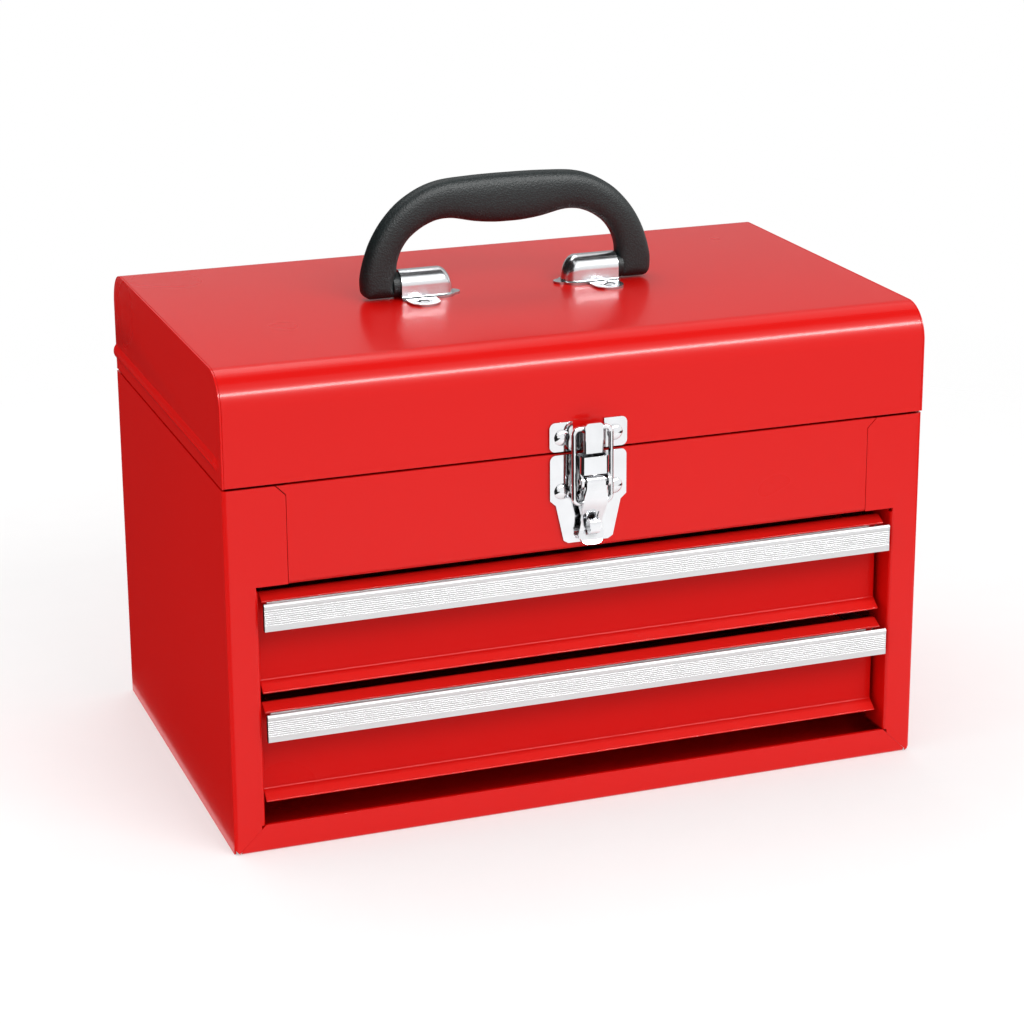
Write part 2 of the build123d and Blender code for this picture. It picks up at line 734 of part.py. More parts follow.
with BuildPart() as latch_pin:
    with BuildSketch(Plane.YZ):
        with Locations((PIVOT_Y, PIVOT_Z)):
            Circle(PIVOT_PIN_R)
    extrude(amount=PIN_END, both=True)

# front surface of the lever, from the knuckle down to the finger tongue: (y from the front plane, z)
LEVER_CURVE = [
    (-12.0, 173.4),
    (-11.6, 163.2),
    (-5.0, 151.0),
    (-5.0, 144.2),
    (-8.4, 139.6),
]
LEVER_OUTLINE = [
    (LEVER_NECK, 177.0),
    (LEVER_NECK, 173.0),
    (5.3, PIVOT_Z - 4.6),
    (LEVER_HALF, 163.5),
    (5.9, 158.0),
    (5.5, 152.0),
    (5.9, 148.0),
    (6.5, 144.6),
    (5.9, 141.6),
    (3.7, 139.3),
    (0.0, 138.4),
]
with BuildPart() as latch_lever:
    with BuildSketch(Plane.YZ):
        with BuildLine():
            FilletPolyline(*[(FRONT + y, z) for y, z in LEVER_CURVE], radius=5.0)
            offset(amount=LATCH, side=Side.LEFT)
        make_face()
    extrude(amount=LEVER_HALF + 2, both=True)
    # front outline
    with BuildSketch(facing(FRONT + 5)):
        with BuildLine():
            Polyline((0, LEVER_OUTLINE[0][1]), *LEVER_OUTLINE, close=True)
        make_face()
        mirror(about=Plane.YZ)
    extrude(amount=25, mode=Mode.INTERSECT)
    # slot over the staple
    with BuildSketch(facing(FRONT + 5)) as slot:
        with Locations((0, SLOT_LOW)):
            Rectangle(2 * SLOT_HALF, SLOT_TOP - SLOT_LOW, align=(Align.CENTER, Align.MIN))
        chamfer(slot.vertices(), 0.8)
    extrude(amount=25, mode=Mode.SUBTRACT)
    # side flanges that carry the loop
    with BuildSketch(Plane.YZ.offset(LEVER_FLANGE_IN), Plane.YZ.offset(-LEVER_HALF)):
        with BuildLine():
            Polyline(
                (FRONT - 11.4, PIVOT_Z - 2.4),
                (FRONT - 7.2, PIVOT_Z - 3.2),
                (FRONT - 4.6, 164.0),
                (FRONT - 4.6, 157.8),
                (FRONT - 6.6, 155.2),
                (FRONT - 8.4, 158.8),
                (FRONT - 10.6, 163.6),
                (FRONT - 11.2, PIVOT_Z - 5.4),
                close=True,
            )
        make_face()
        with Locations((LOOP_END_Y, LOOP_END_Z)):
            Circle(WIRE_R + FIT, mode=Mode.SUBTRACT)
    extrude(amount=LATCH)
    # rolled knuckle
    with BuildSketch(Plane.YZ):
        with Locations((PIVOT_Y, PIVOT_Z)):
            Circle(LEVER_R)
    extrude(amount=LEVER_NECK, both=True)
    with BuildSketch(Plane.YZ):
        with Locations((PIVOT_Y, PIVOT_Z)):
            Circle(PIVOT_PIN_R + FIT)
    extrude(amount=LEVER_NECK + 2, both=True, mode=Mode.SUBTRACT)

LOOP_UP = Vector(0, LOOP_BAR_Y - LOOP_END_Y, LOOP_BAR_Z - LOOP_END_Z)
LOOP_LENGTH = LOOP_UP.length
LOOP_PLANE = Plane(
    origin=(0, LOOP_END_Y, LOOP_END_Z),
    x_dir=(1, 0, 0),
    z_dir=(0, -LOOP_UP.Z, LOOP_UP.Y),
)
with BuildPart() as latch_loop:
    with BuildLine(LOOP_PLANE) as loop_path:
        Polyline(
            (-LOOP_TIP, 0),
            (-LOOP_HALF + LOOP_BEND, 0),
            (-LOOP_HALF, LOOP_BEND),
            (-LOOP_HALF, LOOP_LENGTH - LOOP_BEND),
            (-LOOP_HALF + LOOP_BEND, LOOP_LENGTH),
            (LOOP_HALF - LOOP_BEND, LOOP_LENGTH),
            (LOOP_HALF, LOOP_LENGTH - LOOP_BEND),
            (LOOP_HALF, LOOP_BEND),
            (LOOP_HALF - LOOP_BEND, 0),
            (LOOP_TIP, 0),
        )
    with BuildSketch(Plane(origin=loop_path.line @ 0, z_dir=loop_path.line % 0)):
        Circle(WIRE_R)
    sweep(transition=Transition.RIGHT)

# ============================ saddles and handle ============================


def saddle_place(y):
    """Place of a rivet head on the right-hand saddle's lobe."""
    return Plane(origin=(LOBE_X, y, LID_TOP + SADDLE_SHEET), x_dir=(1, 0, 0), z_dir=(0, 0, 1))


def hood(radius, end, low):
    """Round hood over a stub, standing on the plane z = low, with its inner end rounded off and down."""
    with BuildPart() as one:
        with BuildSketch(Plane.YZ.offset(SADDLE_RIDGE - radius)):
            with Locations((0, GRIP_AXIS_Z)):
                Circle(radius)
                Rectangle(2 * radius, GRIP_AXIS_Z - low, align=(Align.CENTER, Align.MAX))
            with Locations((0, low)):
                Rectangle(3 * radius, radius, align=(Align.CENTER, Align.MAX), mode=Mode.SUBTRACT)
        extrude(amount=end - SADDLE_RIDGE + radius)
        # seen from the side, a quarter circle leads down from the ridge
        with BuildSketch(Plane.XZ.offset(-radius)):
            with Locations((SADDLE_RIDGE, GRIP_AXIS_Z)):
                Circle(radius)
                Rectangle(end - SADDLE_RIDGE, 2 * radius, align=(Align.MIN, Align.CENTER))
            with Locations((SADDLE_RIDGE - radius, GRIP_AXIS_Z)):
                Rectangle(end - SADDLE_RIDGE + radius, 2 * radius, align=(Align.MIN, Align.MAX))
        extrude(amount=2 * radius, mode=Mode.INTERSECT)
        # seen from above, a half circle closes the end
        with BuildSketch(Plane.XY.offset(low)):
            with Locations((SADDLE_RIDGE, 0)):
                Circle(radius)
                Rectangle(end - SADDLE_RIDGE, 2 * radius, align=(Align.MIN, Align.CENTER))
        extrude(amount=3 * radius, mode=Mode.INTERSECT)
    return one.part


with BuildPart() as handle_saddle_right:
    add(hood(SADDLE_R, SADDLE_OUT, LID_TOP))
    add(hood(STUB_R + FIT, SADDLE_OUT + 1, LID_TOP - 1), mode=Mode.SUBTRACT)
    # flanges riveted to the lid, and the small tip at the closed end
    with BuildSketch(Plane.XY.offset(LID_TOP)):
        for sign in (-1, 1):
            with Locations((LOBE_X, sign * (SADDLE_R + LOBE_Y) / 2)):
                Rectangle(2 * LOBE_R, LOBE_Y - SADDLE_R)
            with Locations((LOBE_X, sign * LOBE_Y)):
                Circle(LOBE_R)
            with Locations((LOBE_X, sign * SADDLE_RIVET_Y)):
                RegularPolygon(RIVET_SHANK + FIT, RIVET_SIDES, mode=Mode.SUBTRACT)
    extrude(amount=SADDLE_SHEET)
    with BuildSketch(Plane.XY.offset(LID_TOP)) as tip:
        with Locations((SADDLE_TIP, 0)):
            Rectangle(SADDLE_NOSE - SADDLE_TIP + 0.6, 9.0, align=(Align.MIN, Align.CENTER))
        fillet(tip.vertices().group_by(Axis.X)[0], 2.5)
    extrude(amount=SADDLE_SHEET)
    # the lobes' metal inside the hood is cut away
    with BuildSketch(Plane.YZ.offset(SADDLE_NOSE + SADDLE_SHEET)):
        with Locations((0, LID_TOP)):
            Rectangle(2 * (STUB_R + FIT), 3.0, align=(Align.CENTER, Align.MIN))
    extrude(amount=SADDLE_OUT, mode=Mode.SUBTRACT)

with BuildPart() as handle_saddle_left:
    mirror(handle_saddle_right.part, about=Plane.YZ)

with BuildPart() as saddle_rivets:
    for sign in (-1, 1):
        add(rivet(saddle_place(sign * SADDLE_RIVET_Y)))
    mirror(about=Plane.YZ)

# half outline of the bail: arcs from the middle of the grip outwards and down to the foot
with BuildPart() as handle:
    with BuildSketch(facing(HANDLE_THICK / 2)) as bail:
        with BuildLine():
            crown = ThreePointArc((0, GRIP_TOP), (19.0, GRIP_TOP - 0.4), (36.0, GRIP_TOP - 1.6))
            shoulder = TangentArc(crown @ 1, (62.5, GRIP_TOP - 15.2), tangent=crown % 1)
            leg = TangentArc(shoulder @ 1, (HANDLE_HALF, GRIP_AXIS_Z + 3.4), tangent=shoulder % 1)
            belly = TangentArc((0, GRIP_BELLY), (18.0, GRIP_BELLY + 1.6), tangent=(1, 0))
            hollow = TangentArc(belly @ 1, (35.5, GRIP_BELLY + 4.0), tangent=belly % 1)
            inside = TangentArc(hollow @ 1, (54.5, GRIP_AXIS_Z + 22.4), tangent=hollow % 1)
            knee = TangentArc(inside @ 1, (HANDLE_INNER, GRIP_AXIS_Z + 0.7), tangent=inside % 1)
            Polyline(
                leg @ 1,
                (HANDLE_HALF, HANDLE_FOOT),
                (HANDLE_INNER, HANDLE_FOOT),
                knee @ 1,
            )
            Line((0, GRIP_BELLY), (0, GRIP_TOP))
        make_face()
        fillet(bail.vertices().group_by(Axis.Y)[0].sort_by(Axis.X)[-1], 6.0)
        fillet(bail.vertices().group_by(Axis.Y)[0].sort_by(Axis.X)[0], 5.0)
        mirror(about=Plane.YZ)
    extrude(amount=HANDLE_THICK)
    chamfer(
        handle.edges().filter_by(lambda edge: abs(abs(edge.center().Y) - HANDLE_THICK / 2) < 0.01),
        HANDLE_EDGE,
    )
    for plane in (Plane.YZ.offset(STUB_END), Plane.YZ.offset(-HANDLE_INNER - 4)):
        with BuildSketch(plane):
            with Locations((0, GRIP_AXIS_Z)):
                Circle(STUB_R)
        extrude(amount=HANDLE_INNER + 4 - STUB_END)

# ============================ files ============================
PIECES = {
    "side_panel_left": side_panel_left,
    "side_panel_right": side_panel_right,
    "back_panel": back_panel,
    "bottom_pan": bottom_pan,
    "tray": tray,
    "runner_1_left": runner_1_left,
    "runner_1_right": runner_1_right,
    "runner_2_left": runner_2_left,
    "runner_2_right": runner_2_right,
    "drawer_1_front": drawer_1_front,
    "drawer_1_box": drawer_1_box,
    "drawer_1_pull": drawer_1_pull,
    "drawer_2_front": drawer_2_front,
    "drawer_2_box": drawer_2_box,
    "drawer_2_pull": drawer_2_pull,
    "lid_shell": lid_shell,
    "lid_end_left": lid_end_left,
    "lid_end_right": lid_end_right,
    "hinge_leaf_case": hinge_leaf_case,
    "hinge_leaf_lid": hinge_leaf_lid,
    "hinge_pin": hinge_pin,
    "latch_keeper": latch_keeper,
    "keeper_rivets": keeper_rivets,
    "latch_base": latch_base,
    "latch_base_rivets": latch_base_rivets,
    "latch_pin": latch_pin,
    "latch_lever": latch_lever,
    "latch_loop": latch_loop,
    "handle_saddle_left": handle_saddle_left,
    "handle_saddle_right": handle_saddle_right,
    "saddle_rivets": saddle_rivets,
    "handle": handle,
}
for name, piece in PIECES.items():
    write(piece, name)
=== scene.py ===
"""Portable tool box with drawers: the visual model and its studio, built on the shared CAD frame.

X runs across the front, Y to the back and Z up. The frame and the studio are in metres. The pieces'
sizes are in millimetres, and their surfaces are scaled to metres when they become meshes.
"""

import json
import logging
import math
from dataclasses import dataclass
from enum import Enum
from functools import cache
from typing import Any, Sequence

import bmesh
import bpy
import numpy as np
from mathutils import Matrix, Vector

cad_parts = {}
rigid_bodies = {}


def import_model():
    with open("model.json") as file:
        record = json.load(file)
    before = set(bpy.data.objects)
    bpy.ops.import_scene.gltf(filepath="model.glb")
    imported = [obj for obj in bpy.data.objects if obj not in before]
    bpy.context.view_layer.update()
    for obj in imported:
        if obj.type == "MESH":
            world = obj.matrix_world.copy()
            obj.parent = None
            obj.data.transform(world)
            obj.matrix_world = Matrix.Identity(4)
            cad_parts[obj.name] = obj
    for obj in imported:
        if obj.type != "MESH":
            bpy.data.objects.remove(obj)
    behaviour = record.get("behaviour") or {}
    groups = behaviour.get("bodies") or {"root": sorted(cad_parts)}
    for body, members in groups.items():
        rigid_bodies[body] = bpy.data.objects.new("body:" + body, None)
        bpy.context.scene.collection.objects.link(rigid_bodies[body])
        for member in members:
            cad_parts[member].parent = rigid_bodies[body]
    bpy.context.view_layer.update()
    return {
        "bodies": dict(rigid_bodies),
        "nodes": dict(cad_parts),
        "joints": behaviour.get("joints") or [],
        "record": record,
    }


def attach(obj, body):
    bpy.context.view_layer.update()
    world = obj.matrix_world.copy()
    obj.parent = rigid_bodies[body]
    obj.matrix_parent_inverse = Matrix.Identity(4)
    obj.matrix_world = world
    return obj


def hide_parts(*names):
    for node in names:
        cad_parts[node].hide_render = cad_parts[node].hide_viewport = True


LOG = logging.getLogger("tool_box")
MM = 0.001
FRONT = -114.5  # the case's front plane along Y, mm
SPAN_POINTS = 24  # points on each span of a flowing curve, before they are spaced evenly
Array = np.ndarray
Pair = tuple[float, float]
Triple = tuple[float, float, float]


# ============================================================ shader nodes


class Wire:
    """One output socket of a material's node tree, with arithmetic that adds Math nodes."""

    def __init__(self, sheet: "NodeSheet", socket: bpy.types.NodeSocket) -> None:
        """Keeps the socket and the sheet that new nodes go into.

        Args:
            sheet: the node sheet that owns the socket.
            socket: the output socket.
        """
        self.sheet = sheet
        self.socket = socket

    def _math(self, operation: str, *values: Any) -> "Wire":
        """Adds a Math node.

        Args:
            operation: the node's operation.
            *values: wires or numbers for its inputs, in order.

        Returns:
            The result.
        """
        node = self.sheet.add("ShaderNodeMath", {"operation": operation})
        for socket, value in zip(node.inputs, values):
            self.sheet.feed(socket, value)
        return self.sheet.wire(node)

    def __add__(self, other: Any) -> "Wire":
        """Sum."""
        return self._math("ADD", self, other)

    __radd__ = __add__

    def __sub__(self, other: Any) -> "Wire":
        """Difference."""
        return self._math("SUBTRACT", self, other)

    def __rsub__(self, other: Any) -> "Wire":
        """Difference with this socket as the second value."""
        return self._math("SUBTRACT", other, self)

    def __mul__(self, other: Any) -> "Wire":
        """Product."""
        return self._math("MULTIPLY", self, other)

    __rmul__ = __mul__

    def __truediv__(self, other: Any) -> "Wire":
        """Quotient."""
        return self._math("DIVIDE", self, other)

    def __rtruediv__(self, other: Any) -> "Wire":
        """Quotient with this socket as the divisor."""
        return self._math("DIVIDE", other, self)

    def clamped(self) -> "Wire":
        """Value held between 0 and 1."""
        low = self._math("MAXIMUM", self, 0.0)
        return low._math("MINIMUM", low, 1.0)

    def ramp(self, low: float, high: float) -> "Wire":
        """Value stretched so that low becomes 0 and high becomes 1, held between them."""
        return ((self - low) / (high - low)).clamped()


def opaque(colour: float | Triple) -> tuple[float, float, float, float]:
    """Colour with full alpha, from its three parts or from one grey level."""
    red, green, blue = (colour,) * 3 if isinstance(colour, float) else colour
    return (red, green, blue, 1.0)


class NodeSheet:
    """A node tree with short ways to add and link nodes."""

    HOLLOW_RAYS = 8

    def __init__(self, tree: bpy.types.NodeTree) -> None:
        """Empties the tree and keeps it.

        Args:
            tree: the tree of a material or a world.
        """
        self.tree = tree
        tree.nodes.clear()

    def feed(self, socket: bpy.types.NodeSocket, value: Any) -> None:
        """Links a wire to an input socket, or sets the socket's constant.

        Args:
            socket: the input socket.
            value: a Wire, or the constant.
        """
        if isinstance(value, Wire):
            self.tree.links.new(value.socket, socket)
        else:
            socket.default_value = value

    def add(self, kind: str, settings: dict[str, Any] | None = None, **sockets: Any) -> bpy.types.Node:
        """Adds a node, sets its settings, then feeds its sockets.

        Args:
            kind: the node's type.
            settings: property names and values.
            **sockets: input names, with underscores for spaces, and constants or wires.

        Returns:
            The new node.
        """
        node = self.tree.nodes.new(kind)
        for name, value in (settings or {}).items():
            setattr(node, name, value)
        self.dress(node, **sockets)
        return node

    def dress(self, node: bpy.types.Node, **sockets: Any) -> None:
        """Feeds a node's sockets.

        Args:
            node: the node.
            **sockets: input names, with underscores for spaces, and constants or wires.
        """
        for name, value in sockets.items():
            self.feed(node.inputs[name.replace("_", " ")], value)

    def wire(self, node: bpy.types.Node, output: str | int = 0) -> Wire:
        """Wraps one output of a node."""
        return Wire(self, node.outputs[output])

    def place(self) -> Wire:
        """Position in the object's own coordinates."""
        return self.wire(self.add("ShaderNodeTexCoord"), "Object")

    def noise(self, place: Wire, scale: float, detail: float = 2.0) -> Wire:
        """Noise between 0 and 1.

        Args:
            place: where it is read.
            scale: cells per metre.
            detail: finer octaves on top of the first.

        Returns:
            The noise.
        """
        return self.wire(self.add("ShaderNodeTexNoise", Vector=place, Scale=scale, Detail=detail))

    def hollow(self, reach: float) -> Wire:
        """Openness of the surface round a point: 0 deep in a corner and 1 in the clear.

        Args:
            reach: how far the corner's walls count, mm.

        Returns:
            The openness.
        """
        node = self.add("ShaderNodeAmbientOcclusion", {"samples": self.HOLLOW_RAYS}, Distance=reach * MM)
        return self.wire(node, "AO")

    def mix(self, share: Wire, first: Any, second: Any) -> Wire:
        """Blends two colours.

        Args:
            share: 0 for the first colour and 1 for the second.
            first: a wire, a colour or a grey level.
            second: the same.

        Returns:
            The blend.
        """
        node = self.add("ShaderNodeMix", {"data_type": "RGBA"})
        ends = (value if isinstance(value, Wire) else opaque(value) for value in (first, second))
        for index, value in zip((0, 6, 7), (share, *ends)):
            self.feed(node.inputs[index], value)
        return self.wire(node, 2)

    def bump(self, height: Wire, distance: float) -> Wire:
        """Normal tilted by a height, with so many millimetres for one unit of the wire."""
        return self.wire(self.add("ShaderNodeBump", Height=height, Distance=distance * MM, Strength=1.0))


@dataclass(frozen=True)
class Finish:
    """Base of the finishes: one Principled surface on object coordinates."""

    label: str = "finish"

    @cache
    def material(self) -> bpy.types.Material:
        """Builds the material at the first call.

        Returns:
            The material.
        """
        made = bpy.data.materials.new(self.label)
        made.use_nodes = True
        sheet = NodeSheet(made.node_tree)
        shader = sheet.add("ShaderNodeBsdfPrincipled")
        sheet.add("ShaderNodeOutputMaterial", Surface=sheet.wire(shader))
        self.paint(sheet, shader)
        return made

    def paint(self, sheet: NodeSheet, shader: bpy.types.Node) -> None:
        """Feeds the shader's sockets; each finish has its own."""
        raise NotImplementedError


@dataclass(frozen=True)
class Enamel(Finish):
    """Sprayed gloss enamel: two close reds in soft clouds, an orange-peel ripple and a clear top coat.

    Cells and heights are millimetres, and a scale is in cells per metre.
    """

    label: str = "enamel"
    colour: Triple = (0.69, 0.0045, 0.003)
    deep: Triple = (0.66, 0.004, 0.0026)
    roughness: float = 0.26
    spread: float = 0.04
    specular: float = 0.14
    coat: float = 0.28
    coat_roughness: float = 0.14
    cloud_scale: float = 9.0
    peel_cell: float = 1.6
    peel_height: float = 0.003

    def paint(self, sheet: NodeSheet, shader: bpy.types.Node) -> None:
        """Colour and roughness vary a little over the panel, and the ripple tilts the gloss.

        Args:
            sheet: the material's nodes.
            shader: its surface.
        """
        place = sheet.place()
        cloud = sheet.noise(place, self.cloud_scale)
        peel = sheet.noise(place, 1.0 / (self.peel_cell * MM), 1.0)
        sheet.dress(
            shader,
            Base_Color=self.pigment(sheet, place, cloud),
            Roughness=self.roughness + self.spread * cloud,
            Specular_IOR_Level=self.specular,
            Coat_Weight=self.gloss(sheet, place),
            Coat_Roughness=self.coat_roughness,
            Normal=sheet.bump(peel, self.peel_height),
        )

    def pigment(self, sheet: NodeSheet, place: Wire, cloud: Wire) -> Wire:
        """Colour under the gloss: two close reds in soft clouds."""
        return sheet.mix(cloud, self.deep, self.colour)

    def gloss(self, sheet: NodeSheet, place: Wire) -> Wire | float:
        """Weight of the clear coat."""
        return self.coat


@dataclass(frozen=True)
class DrawerEnamel(Enamel):
    """Enamel of the drawers, with painted shade and light: the recessed face is painted a deeper red for the
    shade in its recess, the lips a brighter red than the case for the light they catch, and the face is
    duller than the lips.

    Attributes:
        painted_face_shade: the face's red, painted deeper than the lips' as painted shade.
        lip: Y where the lip's fold starts and ends, mm.
        lip_gloss: what the lips add to the top coat's weight.
    """

    label: str = "drawer_enamel"
    # Painted light: the lips' red is brighter than the case's enamel, for the light that they catch.
    colour: Triple = (0.77, 0.012, 0.009)
    deep: Triple = (0.74, 0.011, 0.008)
    specular: float = 0.08
    coat: float = 0.06
    # Painted shade: the recessed face's red is deeper, for the shade that falls in the recess.
    painted_face_shade: Triple = (0.6, 0.003, 0.002)
    lip: Pair = (-103.4, -105.0)
    lip_gloss: float = 0.7

    def forward(self, sheet: NodeSheet, place: Wire) -> Wire:
        """0 on the face and 1 on the lips, with the lip's fold between them."""
        axes = sheet.add("ShaderNodeSeparateXYZ", Vector=place)
        return sheet.wire(axes, "Y").ramp(self.lip[0] * MM, self.lip[1] * MM)

    def pigment(self, sheet: NodeSheet, place: Wire, cloud: Wire) -> Wire:
        """Painted shade and light: the face's deeper red gives way to the lips' brighter red across the fold.
        """
        return sheet.mix(self.forward(sheet, place), self.painted_face_shade, super().pigment(sheet, place, cloud))

    def gloss(self, sheet: NodeSheet, place: Wire) -> Wire | float:
        """The lips shine more than the face."""
        return self.coat + self.lip_gloss * self.forward(sheet, place)


@dataclass(frozen=True)
class Plate(Finish):
    """Plated or bare metal with a faint cloudiness in its polish, and painted shade in its corners.

    Attributes:
        spread: what a cloud adds to the roughness.
        cloud_band: the noise levels between which a cloud comes up.
        faded: the colour's share under a cloud.
        wave_cell: length of the sheet's shallow waves, mm.
        wave_height: their height, mm.
        corner_shade: dark grey painted into the corners as painted shade.
        reach: how far a corner's walls count, mm.
        clear: the openness at which the painted corner shade starts to clear, and is gone.
    """

    label: str = "chrome_plate"
    colour: Triple = (0.86, 0.87, 0.89)
    roughness: float = 0.06
    spread: float = 0.06
    cloud_scale: float = 120.0
    cloud_band: Pair = (0.35, 0.75)
    faded: float = 0.93
    wave_cell: float = 9.0
    wave_height: float = 0.012
    # Painted shade: dark grey painted into the corners.
    corner_shade: float = 0.12
    reach: float = 5.0
    clear: Pair = (0.15, 0.8)

    def paint(self, sheet: NodeSheet, shader: bpy.types.Node) -> None:
        """Roughness follows a soft cloud, long shallow waves bend the reflections, and the corners are
        painted grey as painted shade.

        Args:
            sheet: the material's nodes.
            shader: its surface.
        """
        place = sheet.place()
        cloud = sheet.noise(place, self.cloud_scale, 3.0).ramp(*self.cloud_band)
        wave = sheet.noise(place, 1.0 / (self.wave_cell * MM), 0.0)
        darker = tuple(value * self.faded for value in self.colour)
        polish = sheet.mix(cloud, self.colour, darker)
        sheet.dress(
            shader,
            # Painted shade: the colour falls to the dark corner grey where walls close in.
            Base_Color=sheet.mix(sheet.hollow(self.reach).ramp(*self.clear), self.corner_shade, polish),
            Roughness=self.roughness + self.spread * cloud,
            Metallic=1.0,
            Normal=sheet.bump(wave, self.wave_height),
        )


@dataclass(frozen=True)
class Satin(Finish):
    """Extruded aluminium with fine drawn lines along X, painted shade deep in its grooves, and sawn ends
    painted near black as painted shade.

    Attributes:
        line_scale: lines per metre.
        line_stretch: how much the lines are drawn out along X, as a share of their scale.
        line_band: the noise levels between which a line comes up.
        line_height: mm.
        faded: the colour's share on a line.
        groove_shade: grey painted deep in the grooves as painted shade.
        reach: how far the walls of the grooves count, mm.
        clear: the openness at which the painted groove shade starts to clear, and is gone.
        sawn: distances from the pull's middle along X between which the sawn end begins, mm.
        end: grey of the sawn ends, painted near black as painted shade.
    """

    label: str = "satin_aluminium"
    colour: Triple = (0.7, 0.7, 0.71)
    roughness: float = 0.3
    spread: float = 0.1
    metallic: float = 0.85
    line_scale: float = 2400.0
    line_stretch: float = 0.0015
    line_band: Pair = (0.3, 0.7)
    line_height: float = 0.001
    faded: float = 0.92
    # Painted shade: grey painted deep in the grooves.
    groove_shade: float = 0.28
    reach: float = 0.7
    clear: Pair = (0.35, 0.85)
    sawn: Pair = (165.3, 165.4)
    # Painted shade: the sawn ends are painted near black.
    end: float = 0.04

    def paint(self, sheet: NodeSheet, shader: bpy.types.Node) -> None:
        """Noise stretched along X stands for the lines that the die leaves.

        The square of X tells the sawn ends, so that one ramp serves both.

        Args:
            sheet: the material's nodes.
            shader: its surface.
        """
        place = sheet.place()
        along = sheet.wire(sheet.add("ShaderNodeMapping", Vector=place, Scale=(self.line_stretch, 1.0, 1.0)))
        line = sheet.noise(along, self.line_scale)
        tint = sheet.mix(line.ramp(*self.line_band), self.colour, self.faded * self.colour[0])
        # Painted shade: the colour falls to the groove grey deep in the grooves.
        metal = sheet.mix(sheet.hollow(self.reach).ramp(*self.clear), self.groove_shade, tint)
        across = sheet.wire(sheet.add("ShaderNodeSeparateXYZ", Vector=place), "X")
        # Painted shade: mask of the sawn ends, which are painted near black.
        end_shade_mask = (across * across).ramp(*((edge * MM) ** 2 for edge in self.sawn))
        sheet.dress(
            shader,
            Base_Color=sheet.mix(end_shade_mask, metal, self.end),
            Roughness=self.roughness + self.spread * line,
            Metallic=self.metallic,
            Normal=sheet.bump(line, self.line_height),
        )


@dataclass(frozen=True)
class Grained(Finish):
    """Moulded black plastic with a fine leather grain.

    Attributes:
        tones: the colour's shares in the valleys and on the pebbles.
        spread: what the fine noise adds to the roughness.
        cell: width of a pebble, mm.
        depth: height of a pebble, mm.
        dome: distances from a pebble's middle, in cells, between which its top falls to the valley.
        pebble: the pebbles' share of the height; the rest is fine noise.
        fine_scale: cells of the fine noise per metre.
    """

    label: str = "black_plastic"
    colour: Triple = (0.0035, 0.0085, 0.009)
    tones: Pair = (0.5, 2.0)
    roughness: float = 0.42
    spread: float = 0.12
    specular: float = 0.42
    cell: float = 0.9
    depth: float = 0.12
    dome: Pair = (0.05, 0.75)
    pebble: float = 0.75
    fine_scale: float = 2600.0

    def paint(self, sheet: NodeSheet, shader: bpy.types.Node) -> None:
        """Cells of the grain are pebbles with narrow valleys between them.

        Args:
            sheet: the material's nodes.
            shader: its surface.
        """
        place = sheet.place()
        cells = sheet.add("ShaderNodeTexVoronoi", Vector=place, Scale=1.0 / (self.cell * MM))
        away = sheet.wire(cells, "Distance").ramp(*self.dome)
        fine = sheet.noise(place, self.fine_scale)
        height = self.pebble * (1.0 - away) + (1.0 - self.pebble) * fine
        low, high = (tuple(value * share for value in self.colour) for share in self.tones)
        sheet.dress(
            shader,
            Base_Color=sheet.mix(height, low, high),
            Roughness=self.roughness + self.spread * fine,
            Specular_IOR_Level=self.specular,
            Normal=sheet.bump(height, self.depth),
        )


class Coat(Enum):
    """The finishes on the object."""

    RED = Enamel(label="red_enamel")
    DRAWER = DrawerEnamel()
    CHROME = Plate()
    BRUSHED = Plate(label="dull_chrome", colour=(0.72, 0.73, 0.75), roughness=0.18, spread=0.1)
    ZINC = Plate(label="zinc_plate", colour=(0.62, 0.63, 0.65), roughness=0.28, spread=0.12)
    SATIN = Satin()
    PLASTIC = Grained()


# ============================================================ surfaces


@dataclass
class Patch:
    """A grid of points, rows by columns by 3, in millimetres, that becomes quads.

    Attributes:
        points: the grid.
        wrap_rows: the last row joins the first.
        wrap_cols: the last column joins the first.
        fans: rows closed by a fan of triangles round their middle, 0 or -1.
        flip: turns the faces over.
        keep: one truth value for each quad; the others are left out, as for a slot.
    """

    points: Array
    wrap_rows: bool = False
    wrap_cols: bool = False
    fans: tuple[int, ...] = ()
    flip: bool = False
    keep: Array | None = None

    def arrays(self) -> tuple[Array, list[Array]]:
        """Numbers the grid's points row by row and joins each to its neighbours.

        Returns:
            The vertices and the faces' corner indices, one array for the quads and one for each fan.
        """
        rows, cols = self.points.shape[:2]
        index = np.arange(rows * cols).reshape(rows, cols)
        if self.wrap_rows:
            index = np.vstack([index, index[:1]])
        if self.wrap_cols:
            index = np.hstack([index, index[:, :1]])
        quads = np.stack([index[:-1, :-1], index[:-1, 1:], index[1:, 1:], index[1:, :-1]], axis=-1)
        quads = quads.reshape(-1, 4) if self.keep is None else quads[self.keep]
        vertices = self.points.reshape(-1, 3)
        faces = [quads[:, ::-1] if self.flip else quads]
        for row in self.fans:
            middle = len(vertices)
            vertices = np.vstack([vertices, self.points[row].mean(axis=0)])
            ring = index[row]
            first, second = ring[:-1], ring[1:]
            fan = np.stack([first, np.full_like(first, middle), second], axis=-1)
            turned = (row == 0) == self.flip
            faces.append(fan[:, ::-1] if turned else fan)
        return vertices, faces


